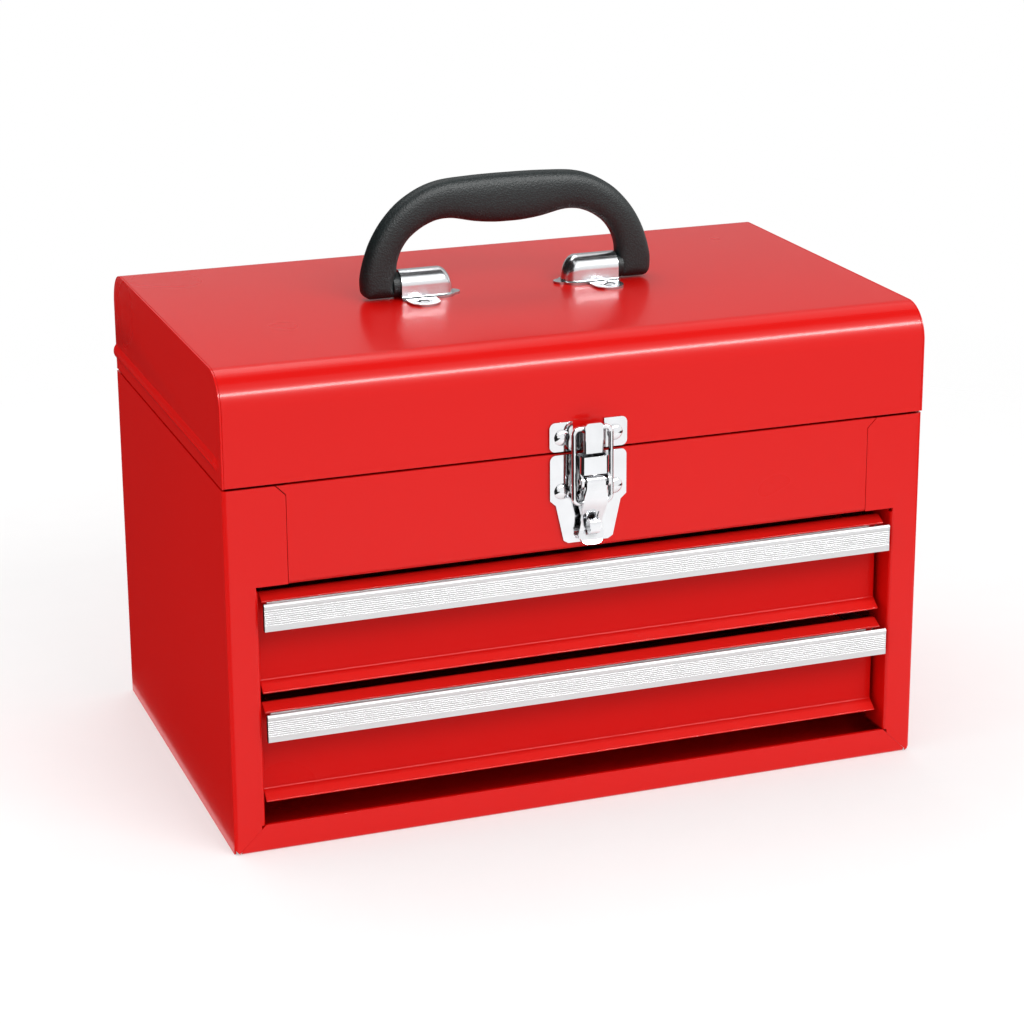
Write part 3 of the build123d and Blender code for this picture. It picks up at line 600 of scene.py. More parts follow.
class Mesher:
    """Turns patches into objects."""

    SHARP = math.radians(38.0)  # edges over this angle stay sharp
    FLAT = math.radians(0.6)  # faces this close to level become one
    MERGE = 1e-6  # vertices nearer than this are one, m
    EMPTY = 1e-7  # edges shorter than this go, m

    @classmethod
    def surface(cls, name: str, *patches: Patch) -> bpy.types.Object:
        """Makes one object of the patches.

        Args:
            name: the object's name.
            *patches: grids in millimetres.

        Returns:
            The object, with smooth faces.
        """
        vertices: list[Array] = []
        faces: list[Array] = []
        count = 0
        for patch in patches:
            points, parts = patch.arrays()
            vertices.append(points)
            faces.extend(part + count for part in parts)
            count += len(points)
        return cls._object(name, np.vstack(vertices) * MM, faces)

    @classmethod
    def _object(cls, name: str, points: Array, faces: Sequence[Array]) -> bpy.types.Object:
        """Writes vertices and faces into a new mesh and merges what coincides.

        Args:
            name: the object's name.
            points: the vertices, in metres.
            faces: arrays of corner indices, each with one number of corners.

        Returns:
            The object.
        """
        mesh = bpy.data.meshes.new(name)
        loops = np.concatenate([part.ravel() for part in faces]).astype(np.int32)
        totals = np.concatenate([np.full(len(part), part.shape[1]) for part in faces]).astype(np.int32)
        starts = np.concatenate([[0], np.cumsum(totals)[:-1]]).astype(np.int32)
        mesh.vertices.add(len(points))
        mesh.vertices.foreach_set("co", points.ravel().astype(np.float32))
        mesh.loops.add(len(loops))
        mesh.loops.foreach_set("vertex_index", loops)
        mesh.polygons.add(len(totals))
        mesh.polygons.foreach_set("loop_start", starts)
        mesh.update(calc_edges=True)
        cls.clean(mesh)
        made = bpy.data.objects.new(name, mesh)
        bpy.context.scene.collection.objects.link(made)
        return made

    @staticmethod
    def clean(mesh: bpy.types.Mesh, flatten: bool = False) -> None:
        """Merges coincident vertices, removes empty faces and shades by angle.

        Args:
            mesh: the mesh to change.
            flatten: faces that are level with each other become one.
        """
        work = bmesh.new()
        work.from_mesh(mesh)
        bmesh.ops.remove_doubles(work, verts=work.verts, dist=Mesher.MERGE)
        bmesh.ops.dissolve_degenerate(work, edges=work.edges, dist=Mesher.EMPTY)
        if flatten:
            bmesh.ops.dissolve_limit(work, angle_limit=Mesher.FLAT, verts=work.verts, edges=work.edges)
        work.to_mesh(mesh)
        work.free()
        mesh.shade_smooth()
        mesh.set_sharp_from_angle(angle=Mesher.SHARP)


def round_over(obj: bpy.types.Object, width: float, steps: int, angle: float) -> None:
    """Adds a Bevel modifier that rounds the sharp edges.

    Args:
        obj: the object.
        width: the bevel's width, mm.
        steps: segments of the bevel.
        angle: edges over this angle are rounded, degrees.
    """
    bevel = obj.modifiers.new("edges", "BEVEL")
    bevel.width = width * MM
    bevel.segments = steps
    bevel.limit_method = "ANGLE"
    bevel.angle_limit = math.radians(angle)
    bevel.harden_normals = True
    bevel.use_clamp_overlap = True


def thicken(obj: bpy.types.Object, thickness: float) -> None:
    """Adds a Solidify modifier; the metal grows against the faces' direction.

    Args:
        obj: the open sheet.
        thickness: mm.
    """
    solid = obj.modifiers.new("sheet", "SOLIDIFY")
    solid.thickness = thickness * MM
    solid.offset = -1.0
    solid.use_even_offset = False


def grid(x: Any, y: Any, z: Any) -> Array:
    """Points whose X, Y and Z are spread over one common grid."""
    return np.stack(np.broadcast_arrays(x, y, z), axis=-1)


def turn(count: int) -> Array:
    """Even angles round a full turn, the last short of the first, radians."""
    return np.linspace(0.0, 2 * math.pi, count, endpoint=False)


def quarter(count: int) -> Array:
    """Even angles from nought to a right angle, radians."""
    return np.linspace(0.0, math.pi / 2, count)


def arc(centre: Pair, radius: float, start: float, end: float, count: int) -> Array:
    """Points of a circular arc.

    Args:
        centre: the arc's centre.
        radius: its radius.
        start: first angle, degrees.
        end: last angle, degrees.
        count: number of points.

    Returns:
        count by 2 points: centre plus radius times the cosine and sine of the angle.
    """
    angle = np.radians(np.linspace(start, end, count))
    return np.stack([centre[0] + radius * np.cos(angle), centre[1] + radius * np.sin(angle)], axis=1)


def flowing(knots: Sequence[Sequence[float]], count: int) -> Array:
    """Smooth curve through knots, evenly spaced along its length.

    Each span is the cubic whose end slopes are half the chord between the neighbouring knots. The curve
    is then read again at even distances.

    Args:
        knots: two or more points of any dimension.
        count: number of points wanted.

    Returns:
        count by dimension points.
    """
    knot = np.asarray(knots, dtype=float)
    padded = np.vstack([2 * knot[:1] - knot[1:2], knot, 2 * knot[-1:] - knot[-2:-1]])
    before, here, there, after = (padded[i : len(knot) - 1 + i, None, :] for i in range(4))
    t = np.linspace(0.0, 1.0, SPAN_POINTS, endpoint=False)[None, :, None]
    fine = 0.5 * (
        2 * here
        + (there - before) * t
        + (2 * before - 5 * here + 4 * there - after) * t**2
        + (3 * here - before - 3 * there + after) * t**3
    )
    fine = np.vstack([fine.reshape(-1, knot.shape[1]), knot[-1:]])
    length = np.concatenate([[0.0], np.cumsum(np.linalg.norm(np.diff(fine, axis=0), axis=1))])
    wanted = np.linspace(0.0, length[-1], count)
    return np.stack([np.interp(wanted, length, fine[:, axis]) for axis in range(knot.shape[1])], axis=1)


# ============================================================ assemblies


class Assembly:
    """Base of the sub-assemblies: finds CAD nodes and puts pieces on bodies."""

    def __init__(self, frame: dict[str, Any]) -> None:
        """Keeps the frame.
        """
        self.frame = frame

    def node(self, name: str) -> bpy.types.Object:
        """CAD node by name."""
        return self.frame["nodes"][name]

    def soften(
        self, name: str, body: str, coat: Coat, width: float = 0.3, steps: int = 2, angle: float = 30.0
    ) -> bpy.types.Object:
        """Replaces a CAD node by a merged copy with rounded edges.

        Args:
            name: the node.
            body: the body that it rides.
            coat: its finish.
            width: bevel width, mm.
            steps: bevel segments.
            angle: edges over this angle are rounded, degrees.

        Returns:
            The copy.
        """
        source = self.node(name)
        mesh = source.data.copy()
        mesh.transform(source.matrix_world)
        Mesher.clean(mesh, flatten=True)
        copy = bpy.data.objects.new(name + "_soft", mesh)
        bpy.context.scene.collection.objects.link(copy)
        round_over(copy, width, steps, angle)
        return self.seat(copy, body, coat, name)

    def seat(self, obj: bpy.types.Object, body: str, coat: Coat, *nodes: str) -> bpy.types.Object:
        """Coats a piece and puts it on a body.

        Args:
            obj: the piece.
            body: the body that it rides.
            coat: its finish.
            *nodes: the CAD nodes that it replaces.

        Returns:
            The piece.
        """
        obj.data.materials.clear()
        obj.data.materials.append(coat.value.material())
        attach(obj, body)
        if nodes:
            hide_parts(*nodes)
        LOG.info("%s: %s on %s", obj.name, coat.name.lower(), body)
        return obj

    def build(self) -> None:
        """Makes the sub-assembly's pieces."""
        raise NotImplementedError


class Case(Assembly):
    """Folded panels, tray front, runners and the fixed hinge leaf."""

    PANELS = ("side_panel_left", "side_panel_right", "back_panel", "bottom_pan", "tray")
    RUNNERS = ("runner_1_left", "runner_1_right", "runner_2_left", "runner_2_right")
    HINGE = ("hinge_leaf_case", "hinge_pin")

    def build(self) -> None:
        """Softens the CAD panels and fittings."""
        for name in self.PANELS:
            self.soften(name, "case", Coat.RED, width=0.35, steps=3)
        for name in (*self.RUNNERS, *self.HINGE):
            self.soften(name, "case", Coat.ZINC, width=0.2)


class Drawers(Assembly):
    """Two drawers: folded front, box and grooved pull."""

    def build(self) -> None:
        """Softens the three pieces of each drawer."""
        for number in (1, 2):
            body = f"drawer_{number}"
            self.soften(f"{body}_front", body, Coat.DRAWER, width=0.35, steps=3)
            self.soften(f"{body}_box", body, Coat.DRAWER, width=0.25)
            self.soften(f"{body}_pull", body, Coat.SATIN, width=0.12, angle=40.0)


class Lid(Assembly):
    """Wrapped lid with its beaded ends and the moving hinge leaf."""

    def build(self) -> None:
        """Softens the wrap, ends and leaf."""
        self.soften("lid_shell", "lid", Coat.RED, width=0.3, steps=3)
        for side in ("left", "right"):
            self.soften(f"lid_end_{side}", "lid", Coat.RED, width=0.55, steps=3, angle=25.0)
        self.soften("hinge_leaf_lid", "lid", Coat.ZINC, width=0.2)


@dataclass(frozen=True)
class RivetSizes:
    """A domed rivet head, mm.

    Attributes:
        radius: of the head.
        height: of its middle above the plate.
        rim: height of the straight rim.
        dimple: depth of the hollow in the middle.
        hollow: the hollow's radius, as a share of the head's.
        sides: points round the head.
        rings: points from the rim to the middle.
        last_tilt: tilt of the last ring about the circle's middle, radians.
    """

    radius: float = 4.0
    height: float = 1.8
    rim: float = 0.2
    dimple: float = 0.0
    hollow: float = 0.48
    sides: int = 40
    rings: int = 18
    last_tilt: float = 0.01

    def profile(self) -> Array:
        """Radius and height from the rim to the middle.

        The head rises straight for the rim's height, then follows a circle that leaves it with the rim's
        radius and is (radius squared + rise squared) / (2 rise) large. The dimple lowers the middle by a
        cosine bell that ends at the hollow's radius.

        Returns:
            Rows of radius and height, the last just off the axis.
        """
        rise = self.height - self.rim
        ball = (self.radius**2 + rise**2) / (2 * rise)
        tilt = np.linspace(math.asin(self.radius / ball), self.last_tilt, self.rings)
        dome = np.stack([ball * np.sin(tilt), self.height - ball * (1 - np.cos(tilt))], axis=1)
        reach = np.clip(dome[:, 0] / (self.hollow * self.radius), 0.0, 1.0)
        dome[:, 1] -= self.dimple * (0.5 + 0.5 * np.cos(math.pi * reach))
        return np.vstack([[self.radius, 0.0], dome])

    def patch(self, place: Triple, right: Triple, up: Triple) -> Patch:
        """Head standing on a point: the profile turned about the direction out of the head.

        Args:
            place: the point on the plate, mm.
            right: one direction in the plate.
            up: direction out of the head.

        Returns:
            The turned surface, closed at the middle.
        """
        profile = self.profile()
        side, out = np.asarray(right), np.asarray(up)
        angle = turn(self.sides)[:, None]
        ring = np.cos(angle) * side + np.sin(angle) * np.cross(out, side)
        points = np.asarray(place) + profile[:, :1, None] * ring + profile[:, 1:, None] * out
        return Patch(points, wrap_cols=True, fans=(-1,))


@dataclass(frozen=True)
class LeverSizes:
    """The latch lever, mm. Y is measured from the case's front plane.

    Attributes:
        curve: Y and Z down the middle of the face.
        outline: half width and Z down the face.
        slot: half width and lower and upper end of the slot.
        sheet: thickness of the metal.
        pivot: Y and Z of the pin's axis.
        knuckle: outer radius of the knuckle.
        knuckle_half: half its length.
        knuckle_edge: chamfer of its rims.
        flange: Y and Z round a side flange.
        flange_in: X of a flange's inner face.
        flange_edge: depth of the flange's rounded edge.
        flange_inset: how much the edge shrinks the flange's outline.
        fine: points on the curve and the outline when they are read.
        rows: rows of the face's grid.
        crowd: power that crowds the rows at the foot.
        flank: columns on each side of the slot.
        across: columns over the slot.
        sides: points round the knuckle and round a flange.
    """

    curve: tuple[Pair, ...] = (
        (-12.0, 173.4),
        (-11.9, 168.5),
        (-11.0, 162.2),
        (-8.2, 156.6),
        (-5.7, 151.6),
        (-5.0, 147.5),
        (-5.3, 145.2),
        (-6.4, 142.6),
        (-7.9, 140.2),
    )
    outline: tuple[Pair, ...] = (
        (4.9, 173.4),
        (4.9, 170.8),
        (5.4, 168.2),
        (6.1, 165.4),
        (6.3, 162.6),
        (6.0, 158.0),
        (5.5, 152.4),
        (5.8, 148.6),
        (6.4, 145.8),
        (6.1, 143.1),
        (4.7, 141.2),
        (2.6, 140.4),
        (0.0, 140.1),
    )
    slot: Triple = (3.0, 144.5, 157.2)
    sheet: float = 1.2
    pivot: Pair = (-9.0, 173.4)
    knuckle: float = 3.0
    knuckle_half: float = 4.9
    knuckle_edge: float = 0.25
    flange: tuple[Pair, ...] = (
        (-11.2, 171.0),
        (-7.2, 170.2),
        (-4.8, 165.0),
        (-4.6, 160.4),
        (-5.4, 156.6),
        (-6.8, 155.6),
        (-8.4, 158.8),
        (-10.4, 163.2),
        (-11.0, 167.6),
    )
    flange_in: float = 4.95
    flange_edge: float = 0.2
    flange_inset: float = 0.94
    fine: int = 300
    rows: int = 90
    crowd: float = 1.6
    flank: int = 6
    across: int = 5
    sides: int = 48

    def face(self) -> Patch:
        """Front sheet of the lever.

        Each row lies at one height. The curve gives its Y there, and the outline its half width. The
        heights follow the sine of an even angle raised to the power crowd, and the slot's two ends are
        added to them. The columns cross the slot's width evenly, or half the sheet's where it is narrow,
        and then run out to the outline. The quads over the slot are left out.

        Returns:
            The open sheet.
        """
        curve, edge = flowing(self.curve, self.fine), flowing(self.outline, self.fine)
        low, high = edge[-1, 1], edge[0, 1]
        slot_half, slot_low, slot_high = self.slot
        spread = np.clip(low + (high - low) * np.sin(quarter(self.rows)) ** self.crowd, low, high)
        rows = np.unique(np.concatenate([spread, [slot_low, slot_high]]))[::-1]
        half = np.interp(rows, edge[::-1, 1], edge[::-1, 0])
        inner = np.minimum(slot_half, 0.5 * half)
        right = inner[:, None] + (half - inner)[:, None] * np.linspace(0.0, 1.0, self.flank)
        middle = inner[:, None] * np.linspace(-1.0, 1.0, self.across + 2)[1:-1]
        x = np.hstack([-right[:, ::-1], middle, right])
        y = FRONT + np.interp(rows, curve[::-1, 1], curve[::-1, 0])
        keep = np.ones((len(rows) - 1, x.shape[1] - 1), dtype=bool)
        inside = (rows[:-1] <= slot_high) & (rows[1:] >= slot_low)
        keep[np.ix_(inside, np.arange(self.flank - 1, self.flank + self.across))] = False
        return Patch(grid(x, y[:, None], rows[:, None]), keep=keep, flip=True)

    def knuckle_patch(self) -> Patch:
        """Rolled knuckle: a profile of X and radius, bored and chamfered, turned about the pivot.

        Returns:
            The closed tube.
        """
        half, edge = self.knuckle_half, self.knuckle_edge
        bore, shoulder = self.knuckle - self.sheet, self.knuckle - edge
        right = [(half - edge, self.knuckle), (half, shoulder), (half, bore)]
        rows = np.array([(-x, radius) for x, radius in right[::-1]] + right)
        y = FRONT + self.pivot[0] + rows[:, 1:] * np.cos(turn(self.sides))
        z = self.pivot[1] + rows[:, 1:] * np.sin(turn(self.sides))
        return Patch(grid(rows[:, :1], y, z), wrap_rows=True, wrap_cols=True)

    def flange_patch(self, side: int) -> Patch:
        """One side flange: its outline at four depths, shrunk about its middle at the first and last.

        Args:
            side: 1 for the right flange, -1 for the left.

        Returns:
            The closed plate.
        """
        ring = flowing((*self.flange, self.flange[0]), self.sides + 1)[:-1]
        inset = ring.mean(axis=0) + (ring - ring.mean(axis=0)) * self.flange_inset
        edge, far = self.flange_edge, self.sheet
        depth = np.array([0.0, edge, far - edge, far])[:, None]
        loops = np.stack([inset, ring, ring, inset])
        points = grid(side * (self.flange_in + depth), FRONT + loops[..., 0], loops[..., 1])
        return Patch(points, wrap_cols=True, fans=(0, -1), flip=side > 0)


@dataclass(frozen=True)
class LoopSizes:
    """The wire loop, a rounded frame in a leaning plane, mm. Y is measured from the front plane.

    Attributes:
        end: Y and Z of the two tips.
        bar: Y and Z of the bar on the hook.
        wire: radius of the wire.
        half: half the frame's width.
        bend: radius of its corners.
        tip: X of a tip.
        steps: points round a corner.
        sides: points round the wire.
    """

    end: Pair = (-6.8, 161.8)
    bar: Pair = (-6.2, 199.4)
    wire: float = 1.3
    half: float = 9.65
    bend: float = 3.1
    tip: float = 4.7
    steps: int = 12
    sides: int = 20

    def patch(self) -> Patch:
        """Tube along the frame.

        The frame runs from one tip outwards, up, across and back, with quarter circles at its corners.
        Each ring of the tube lies across the path's direction.

        Returns:
            The tube, closed at both tips.
        """
        rise = np.subtract(self.bar, self.end)
        height = float(np.linalg.norm(rise))
        bend, far = self.bend, self.half - self.bend
        start, finish = [[self.tip, 0.0]], [[0.0, height]]
        low = arc((far, bend), bend, -90.0, 0.0, self.steps)
        high = arc((far, height - bend), bend, 0.0, 90.0, self.steps)
        half_path = np.vstack([start, low, high, finish])
        path = np.vstack([half_path, (half_path * [-1.0, 1.0])[-2::-1]])
        step = np.gradient(path, axis=0)
        step /= np.linalg.norm(step, axis=1)[:, None]
        across, up = np.array([1.0, 0.0, 0.0]), np.array([0.0, *(rise / height)])
        depth = np.array([0.0, -up[2], up[1]])
        origin = np.array([0.0, FRONT + self.end[0], self.end[1]])
        spine = origin + path[:, :1] * across + path[:, 1:] * up
        side = step[:, :1] * up - step[:, 1:] * across
        angle = turn(self.sides)[None, :, None]
        points = spine[:, None] + self.wire * (np.cos(angle) * side[:, None] + np.sin(angle) * depth)
        return Patch(points, wrap_cols=True, fans=(0, -1))


class Latch(Assembly):
    """Draw latch: keeper, base, rivets, pin, lever and loop."""

    RIVET_X = 13.85  # of the right rivets, mm
    PLATE = 1.2  # thickness of the keeper and the base, mm
    RIVETS = (("keeper_rivets", "lid", 194.3), ("latch_base_rivets", "case", 167.0))  # node, body and Z in mm
    RIGHT = (1.0, 0.0, 0.0)
    FORWARD = (0.0, -1.0, 0.0)

    def build(self) -> None:
        """Softens the plates and pin, and makes rivets, lever and loop as surfaces."""
        self.soften("latch_keeper", "lid", Coat.CHROME, width=0.9, steps=5)
        self.soften("latch_base", "case", Coat.CHROME, width=0.9, steps=5)
        self.soften("latch_pin", "case", Coat.CHROME, width=0.3, steps=3)
        for name, body, height in self.RIVETS:
            places = ((side * self.RIVET_X, FRONT - self.PLATE, height) for side in (-1, 1))
            heads = (RivetSizes().patch(place, self.RIGHT, self.FORWARD) for place in places)
            self.seat(Mesher.surface(name + "_domes", *heads), body, Coat.CHROME, name)
        self._lever()
        loop = Mesher.surface("loop_wire", LoopSizes().patch())
        self.seat(loop, "latch_loop", Coat.CHROME, "latch_loop")

    def _lever(self) -> None:
        """Makes the lever of its front sheet, knuckle and flanges."""
        sizes = LeverSizes()
        face = Mesher.surface("lever_face", sizes.face())
        thicken(face, sizes.sheet)
        round_over(face, width=0.3, steps=3, angle=50.0)
        self.seat(face, "latch_lever", Coat.CHROME, "latch_lever")
        flanges = (sizes.flange_patch(side) for side in (-1, 1))
        rest = Mesher.surface("lever_knuckle", sizes.knuckle_patch(), *flanges)
        self.seat(rest, "latch_lever", Coat.CHROME, "latch_lever")


@dataclass(frozen=True)
class GripSizes:
    """The carrying handle, mm.

    Attributes:
        pairs: X and Z of matched points of the bail's outer and inner outlines, from crown to foot.
        half: half the grip's depth.
        power: the sections' superellipse power.
        axis: Z of the pivot.
        foot: radius within which the feet stay below the pivot.
        stub: inner and outer X and radius of a stub.
        stub_edge: chamfer of a stub's end.
        stations: sections along the bail.
        sides: points round a section.
        stub_sides: points round a stub.
    """

    pairs: tuple[tuple[float, float, float, float], ...] = (
        (0.0, 302.4, 0.0, 277.0),
        (8.0, 302.4, 8.0, 277.2),
        (20.0, 302.1, 18.0, 278.4),
        (35.0, 301.1, 30.0, 280.9),
        (45.4, 298.4, 37.5, 280.8),
        (54.6, 293.6, 43.5, 279.0),
        (61.7, 288.0, 49.0, 276.0),
        (68.6, 280.0, 54.0, 271.9),
        (73.9, 271.0, 57.8, 266.4),
        (77.3, 262.0, 60.0, 260.0),
        (79.2, 254.0, 60.3, 254.0),
        (79.4, 249.0, 60.3, 249.0),
        (78.7, 245.0, 61.0, 244.4),
        (75.5, 242.6, 64.2, 242.5),
        (69.8, 242.3, 69.8, 242.3),
    )
    half: float = 6.5
    power: float = 2.6
    axis: float = 248.6
    foot: float = 6.6
    stub: Triple = (39.5, 63.0, 6.4)
    stub_edge: float = 0.6
    stations: int = 241
    sides: int = 56
    stub_sides: int = 40

    def bail(self) -> Patch:
        """Bail from foot to foot.

        Both outlines flow through their points together. Each section is a superellipse: its X and Z
        follow the cosine, and its Y the sine, each raised to 2 / power with its sign kept. Below the
        pivot the section stays within a cylinder of radius foot about the axis.

        Returns:
            The closed surface.
        """
        right = np.asarray(self.pairs)
        left = right[:0:-1] * [-1.0, 1.0, -1.0, 1.0]
        line = flowing(np.vstack([left, right]), self.stations)
        outer, inner = line[:, :2], line[:, 2:]
        middle, reach = (outer + inner) / 2, (outer - inner) / 2
        waves = np.cos(turn(self.sides)), np.sin(turn(self.sides))
        across, depth = (np.sign(wave) * np.abs(wave) ** (2 / self.power) for wave in waves)
        x = middle[:, :1] + reach[:, :1] * across
        z = middle[:, 1:] + reach[:, 1:] * across
        drop = np.maximum(self.axis - z, 0.0)
        limit = np.sqrt(np.maximum(self.foot**2 - drop**2, 0.0))
        limit = np.where(drop > 0.0, limit, self.half)
        y = np.clip(self.half * depth, -limit, limit)
        return Patch(grid(x, y, z), wrap_cols=True, flip=True)

    def stub_patch(self, side: int) -> Patch:
        """One round stub that turns in its saddle: rows of X and radius turned about the pivot.

        Args:
            side: 1 for the right stub, -1 for the left.

        Returns:
            The closed surface.
        """
        start, end, radius = self.stub
        rows = np.array([[start, radius - self.stub_edge], [start + self.stub_edge, radius], [end, radius]])
        y = rows[:, 1:] * np.cos(turn(self.stub_sides))
        z = self.axis + rows[:, 1:] * np.sin(turn(self.stub_sides))
        return Patch(grid(side * rows[:, :1], y, z), wrap_cols=True, fans=(0, -1), flip=side < 0)


@dataclass(frozen=True)
class SaddleSizes:
    """A saddle: a ball-nosed hood over a stub with two riveted lobes and a small tip, mm.

    Attributes:
        lid: Z of the lid's top.
        axis: height of the stub's axis over the lid.
        radius: of the hood's outside.
        sheet: thickness of the metal.
        out: X of the hood's open end.
        ridge: X where the hood's ridge meets its ball end.
        tip: X and radius of the tip.
        lobe: X, offset and radius of a lobe.
        foot: radius of the bend at the hood's foot.
        brim: width of the flange beside the hood.
        least: smallest half width, at the tip's first row.
        rivet: X and offset of a rivet.
        shoulder: how far outside a lobe its outer rows lie.
        closest: rows nearer than this to the one before are left out.
        lift: where the flange's first column lies past the foot, as a share of the flange.
        tip_rows: rows over the tip.
        ball_rows: rows over the ball end.
        lobe_rows: rows over a lobe.
        arch_columns: columns over half the arch.
        foot_columns: columns of the foot's bend.
        brim_columns: columns of the flange.
    """

    lid: float = 241.5
    axis: float = 7.1
    radius: float = 7.65
    sheet: float = 1.2
    out: float = 59.4
    ridge: float = 38.0
    tip: Pair = (30.5, 4.5)
    lobe: Triple = (50.2, 16.0, 8.1)
    foot: float = 1.1
    brim: float = 1.6
    least: float = 0.02
    rivet: Pair = (50.2, 15.0)
    shoulder: float = 0.05
    closest: float = 0.01
    lift: float = 0.15
    tip_rows: int = 12
    ball_rows: int = 24
    lobe_rows: int = 41
    arch_columns: int = 16
    foot_columns: int = 7
    brim_columns: int = 7

    def _rows(self) -> Array:
        """X of the rows, closer together where the outline turns fast.

        The tip, the ball end and the lobes each give the cosines of even angles times their radius.

        Returns:
            The rows' X, rising.
        """
        (nose, nose_radius), (centre, _, lobe_radius) = self.tip, self.lobe
        front = nose - nose_radius * np.cos(quarter(self.tip_rows))
        ball = self.ridge - self.radius * np.cos(quarter(self.ball_rows))
        lobe = centre + lobe_radius * np.cos(np.linspace(0.0, math.pi, self.lobe_rows))
        beyond = lobe_radius + self.shoulder
        x = np.unique(np.concatenate([front, ball, lobe, [centre - beyond, centre + beyond, self.out]]))
        return x[np.append(True, np.diff(x) > self.closest)]

    def _half_width(self, x: Array) -> Array:
        """Half width of the flange: the widest of tip, hood foot and lobe, each a circle's half chord.

        Args:
            x: the rows' X.

        Returns:
            The half width at each row.
        """

        def bow(centre: float, radius: float) -> Array:
            """Half chord of a circle at each x."""
            return np.sqrt(np.maximum(radius**2 - (x - centre) ** 2, 0.0))

        foot = self.radius + self.brim
        hood = np.where(x < self.ridge, bow(self.ridge, foot), foot)
        centre, offset, radius = self.lobe
        chord = bow(centre, radius)
        lobe = np.where(chord > 0.0, offset + chord, self.least)
        return np.maximum(np.maximum(bow(*self.tip), hood), lobe)

    def patch(self, side: int) -> Patch:
        """Top surface of the saddle on one side of the handle.

        Each row crosses the saddle at one x: half a section goes over the arch by its cosine and sine,
        down the wall, round the foot's quarter circle and out along the flange. Before the ridge the
        arch shrinks by the square root of one less the squared distance, which makes the ball end.

        Args:
            side: 1 for the right saddle, -1 for the left.

        Returns:
            The open sheet.
        """
        x = self._rows()
        away = np.clip((self.ridge - x) / self.radius, 0.0, 1.0)
        scale = np.sqrt(1.0 - away**2)[:, None]
        width = self._half_width(x)[:, None]
        wall, bend = self.radius * scale, self.foot * scale
        top, round_foot = quarter(self.arch_columns)[::-1], quarter(self.foot_columns)
        arch_y, arch_z = wall * np.cos(top), scale * (self.axis + self.radius * np.sin(top))
        foot_y = wall + bend - bend * np.cos(round_foot)
        foot_z = self.sheet + bend - bend * np.sin(round_foot)
        begin = np.minimum(foot_y[:, -1:], width)
        flange_y = begin + (width - begin) * np.linspace(self.lift, 1.0, self.brim_columns)
        flange_z = np.full_like(flange_y, self.sheet)
        y = np.hstack([arch_y, foot_y, flange_y])
        z = np.maximum(np.hstack([arch_z, foot_z, flange_z]), self.sheet)
        y = np.hstack([-y[:, :0:-1], y])
        z = self.lid + np.hstack([z[:, :0:-1], z])
        return Patch(grid(side * x[:, None], y, z), flip=side > 0)


class Carrier(Assembly):
    """Carrying handle with its two saddles and their rivets."""

    RIVET = RivetSizes(radius=3.9, height=1.5, dimple=0.9)
    RIGHT = (1.0, 0.0, 0.0)
    UP = (0.0, 0.0, 1.0)

    def build(self) -> None:
        """Makes the saddles, rivets and handle as surfaces."""
        sizes = SaddleSizes()
        heads: list[Patch] = []
        for side, name in ((-1, "left"), (1, "right")):
            saddle = Mesher.surface(f"saddle_{name}", sizes.patch(side))
            thicken(saddle, sizes.sheet)
            round_over(saddle, width=0.28, steps=3, angle=50.0)
            self.seat(saddle, "lid", Coat.BRUSHED, f"handle_saddle_{name}")
            for depth in (-1, 1):
                place = (side * sizes.rivet[0], depth * sizes.rivet[1], sizes.lid + sizes.sheet)
                heads.append(self.RIVET.patch(place, self.RIGHT, self.UP))
        self.seat(Mesher.surface("saddle_rivet_domes", *heads), "lid", Coat.CHROME, "saddle_rivets")
        grip = GripSizes()
        handle = Mesher.surface("grip", grip.bail(), grip.stub_patch(-1), grip.stub_patch(1))
        self.seat(handle, "handle", Coat.PLASTIC, "handle")


# ============================================================ studio


@dataclass(frozen=True)
class Ground(Finish):
    """Pale floor that holds the shadow and fades out into the plain white.

    Attributes:
        radius: of the floor, m.
        tones: the two greys of its specks.
        speck_scale: specks per metre.
        glow: strength of its own white light.
        fade: shares of the radius between which it fades out.
    """

    label: str = "floor"
    radius: float = 1.1
    roughness: float = 0.6
    tones: Pair = (0.6, 0.62)
    speck_scale: float = 40.0
    glow: float = 0.36
    fade: Pair = (0.32, 0.85)

    def paint(self, sheet: NodeSheet, shader: bpy.types.Node) -> None:
        """Two greys in specks, and an alpha that falls with the distance from the middle.

        Args:
            sheet: the material's nodes.
            shader: its surface.
        """
        place = sheet.place()
        away = sheet.wire(sheet.add("ShaderNodeVectorMath", {"operation": "LENGTH"}, Vector=place), "Value")
        near, far = (share * self.radius for share in self.fade)
        sheet.dress(
            shader,
            Base_Color=sheet.mix(sheet.noise(place, self.speck_scale), *self.tones),
            Roughness=self.roughness,
            Specular_IOR_Level=0.0,
            Emission_Color=opaque(1.0),
            Emission_Strength=self.glow,
            Alpha=1.0 - away.ramp(near, far),
        )


@dataclass(frozen=True)
class Felt(Finish):
    """Dull grey cloth of the cards, a tenth lighter and darker in clouds."""

    tone: float = 0.015
    roughness: float = 0.9
    cloud_scale: float = 3.0
    shares: Pair = (0.9, 1.1)

    def paint(self, sheet: NodeSheet, shader: bpy.types.Node) -> None:
        """Two close greys.

        Args:
            sheet: the material's nodes.
            shader: its surface.
        """
        cloud = sheet.noise(sheet.place(), self.cloud_scale, 1.0)
        shade = sheet.mix(cloud, *(share * self.tone for share in self.shares))
        sheet.dress(shader, Base_Color=shade, Roughness=self.roughness, Specular_IOR_Level=0.0)


@dataclass(frozen=True)
class Lamp:
    """A rectangular softbox.

    Attributes:
        name: the lamp's name.
        place: where it hangs, m.
        aim: the point that it faces, m.
        size: width and height, m.
        power: W.
        mirrored: gloss shows the lamp.
        spreads: the lamp lights dull surfaces.
    """

    name: str
    place: Triple
    aim: Triple
    size: Pair
    power: float
    mirrored: bool = True
    spreads: bool = True


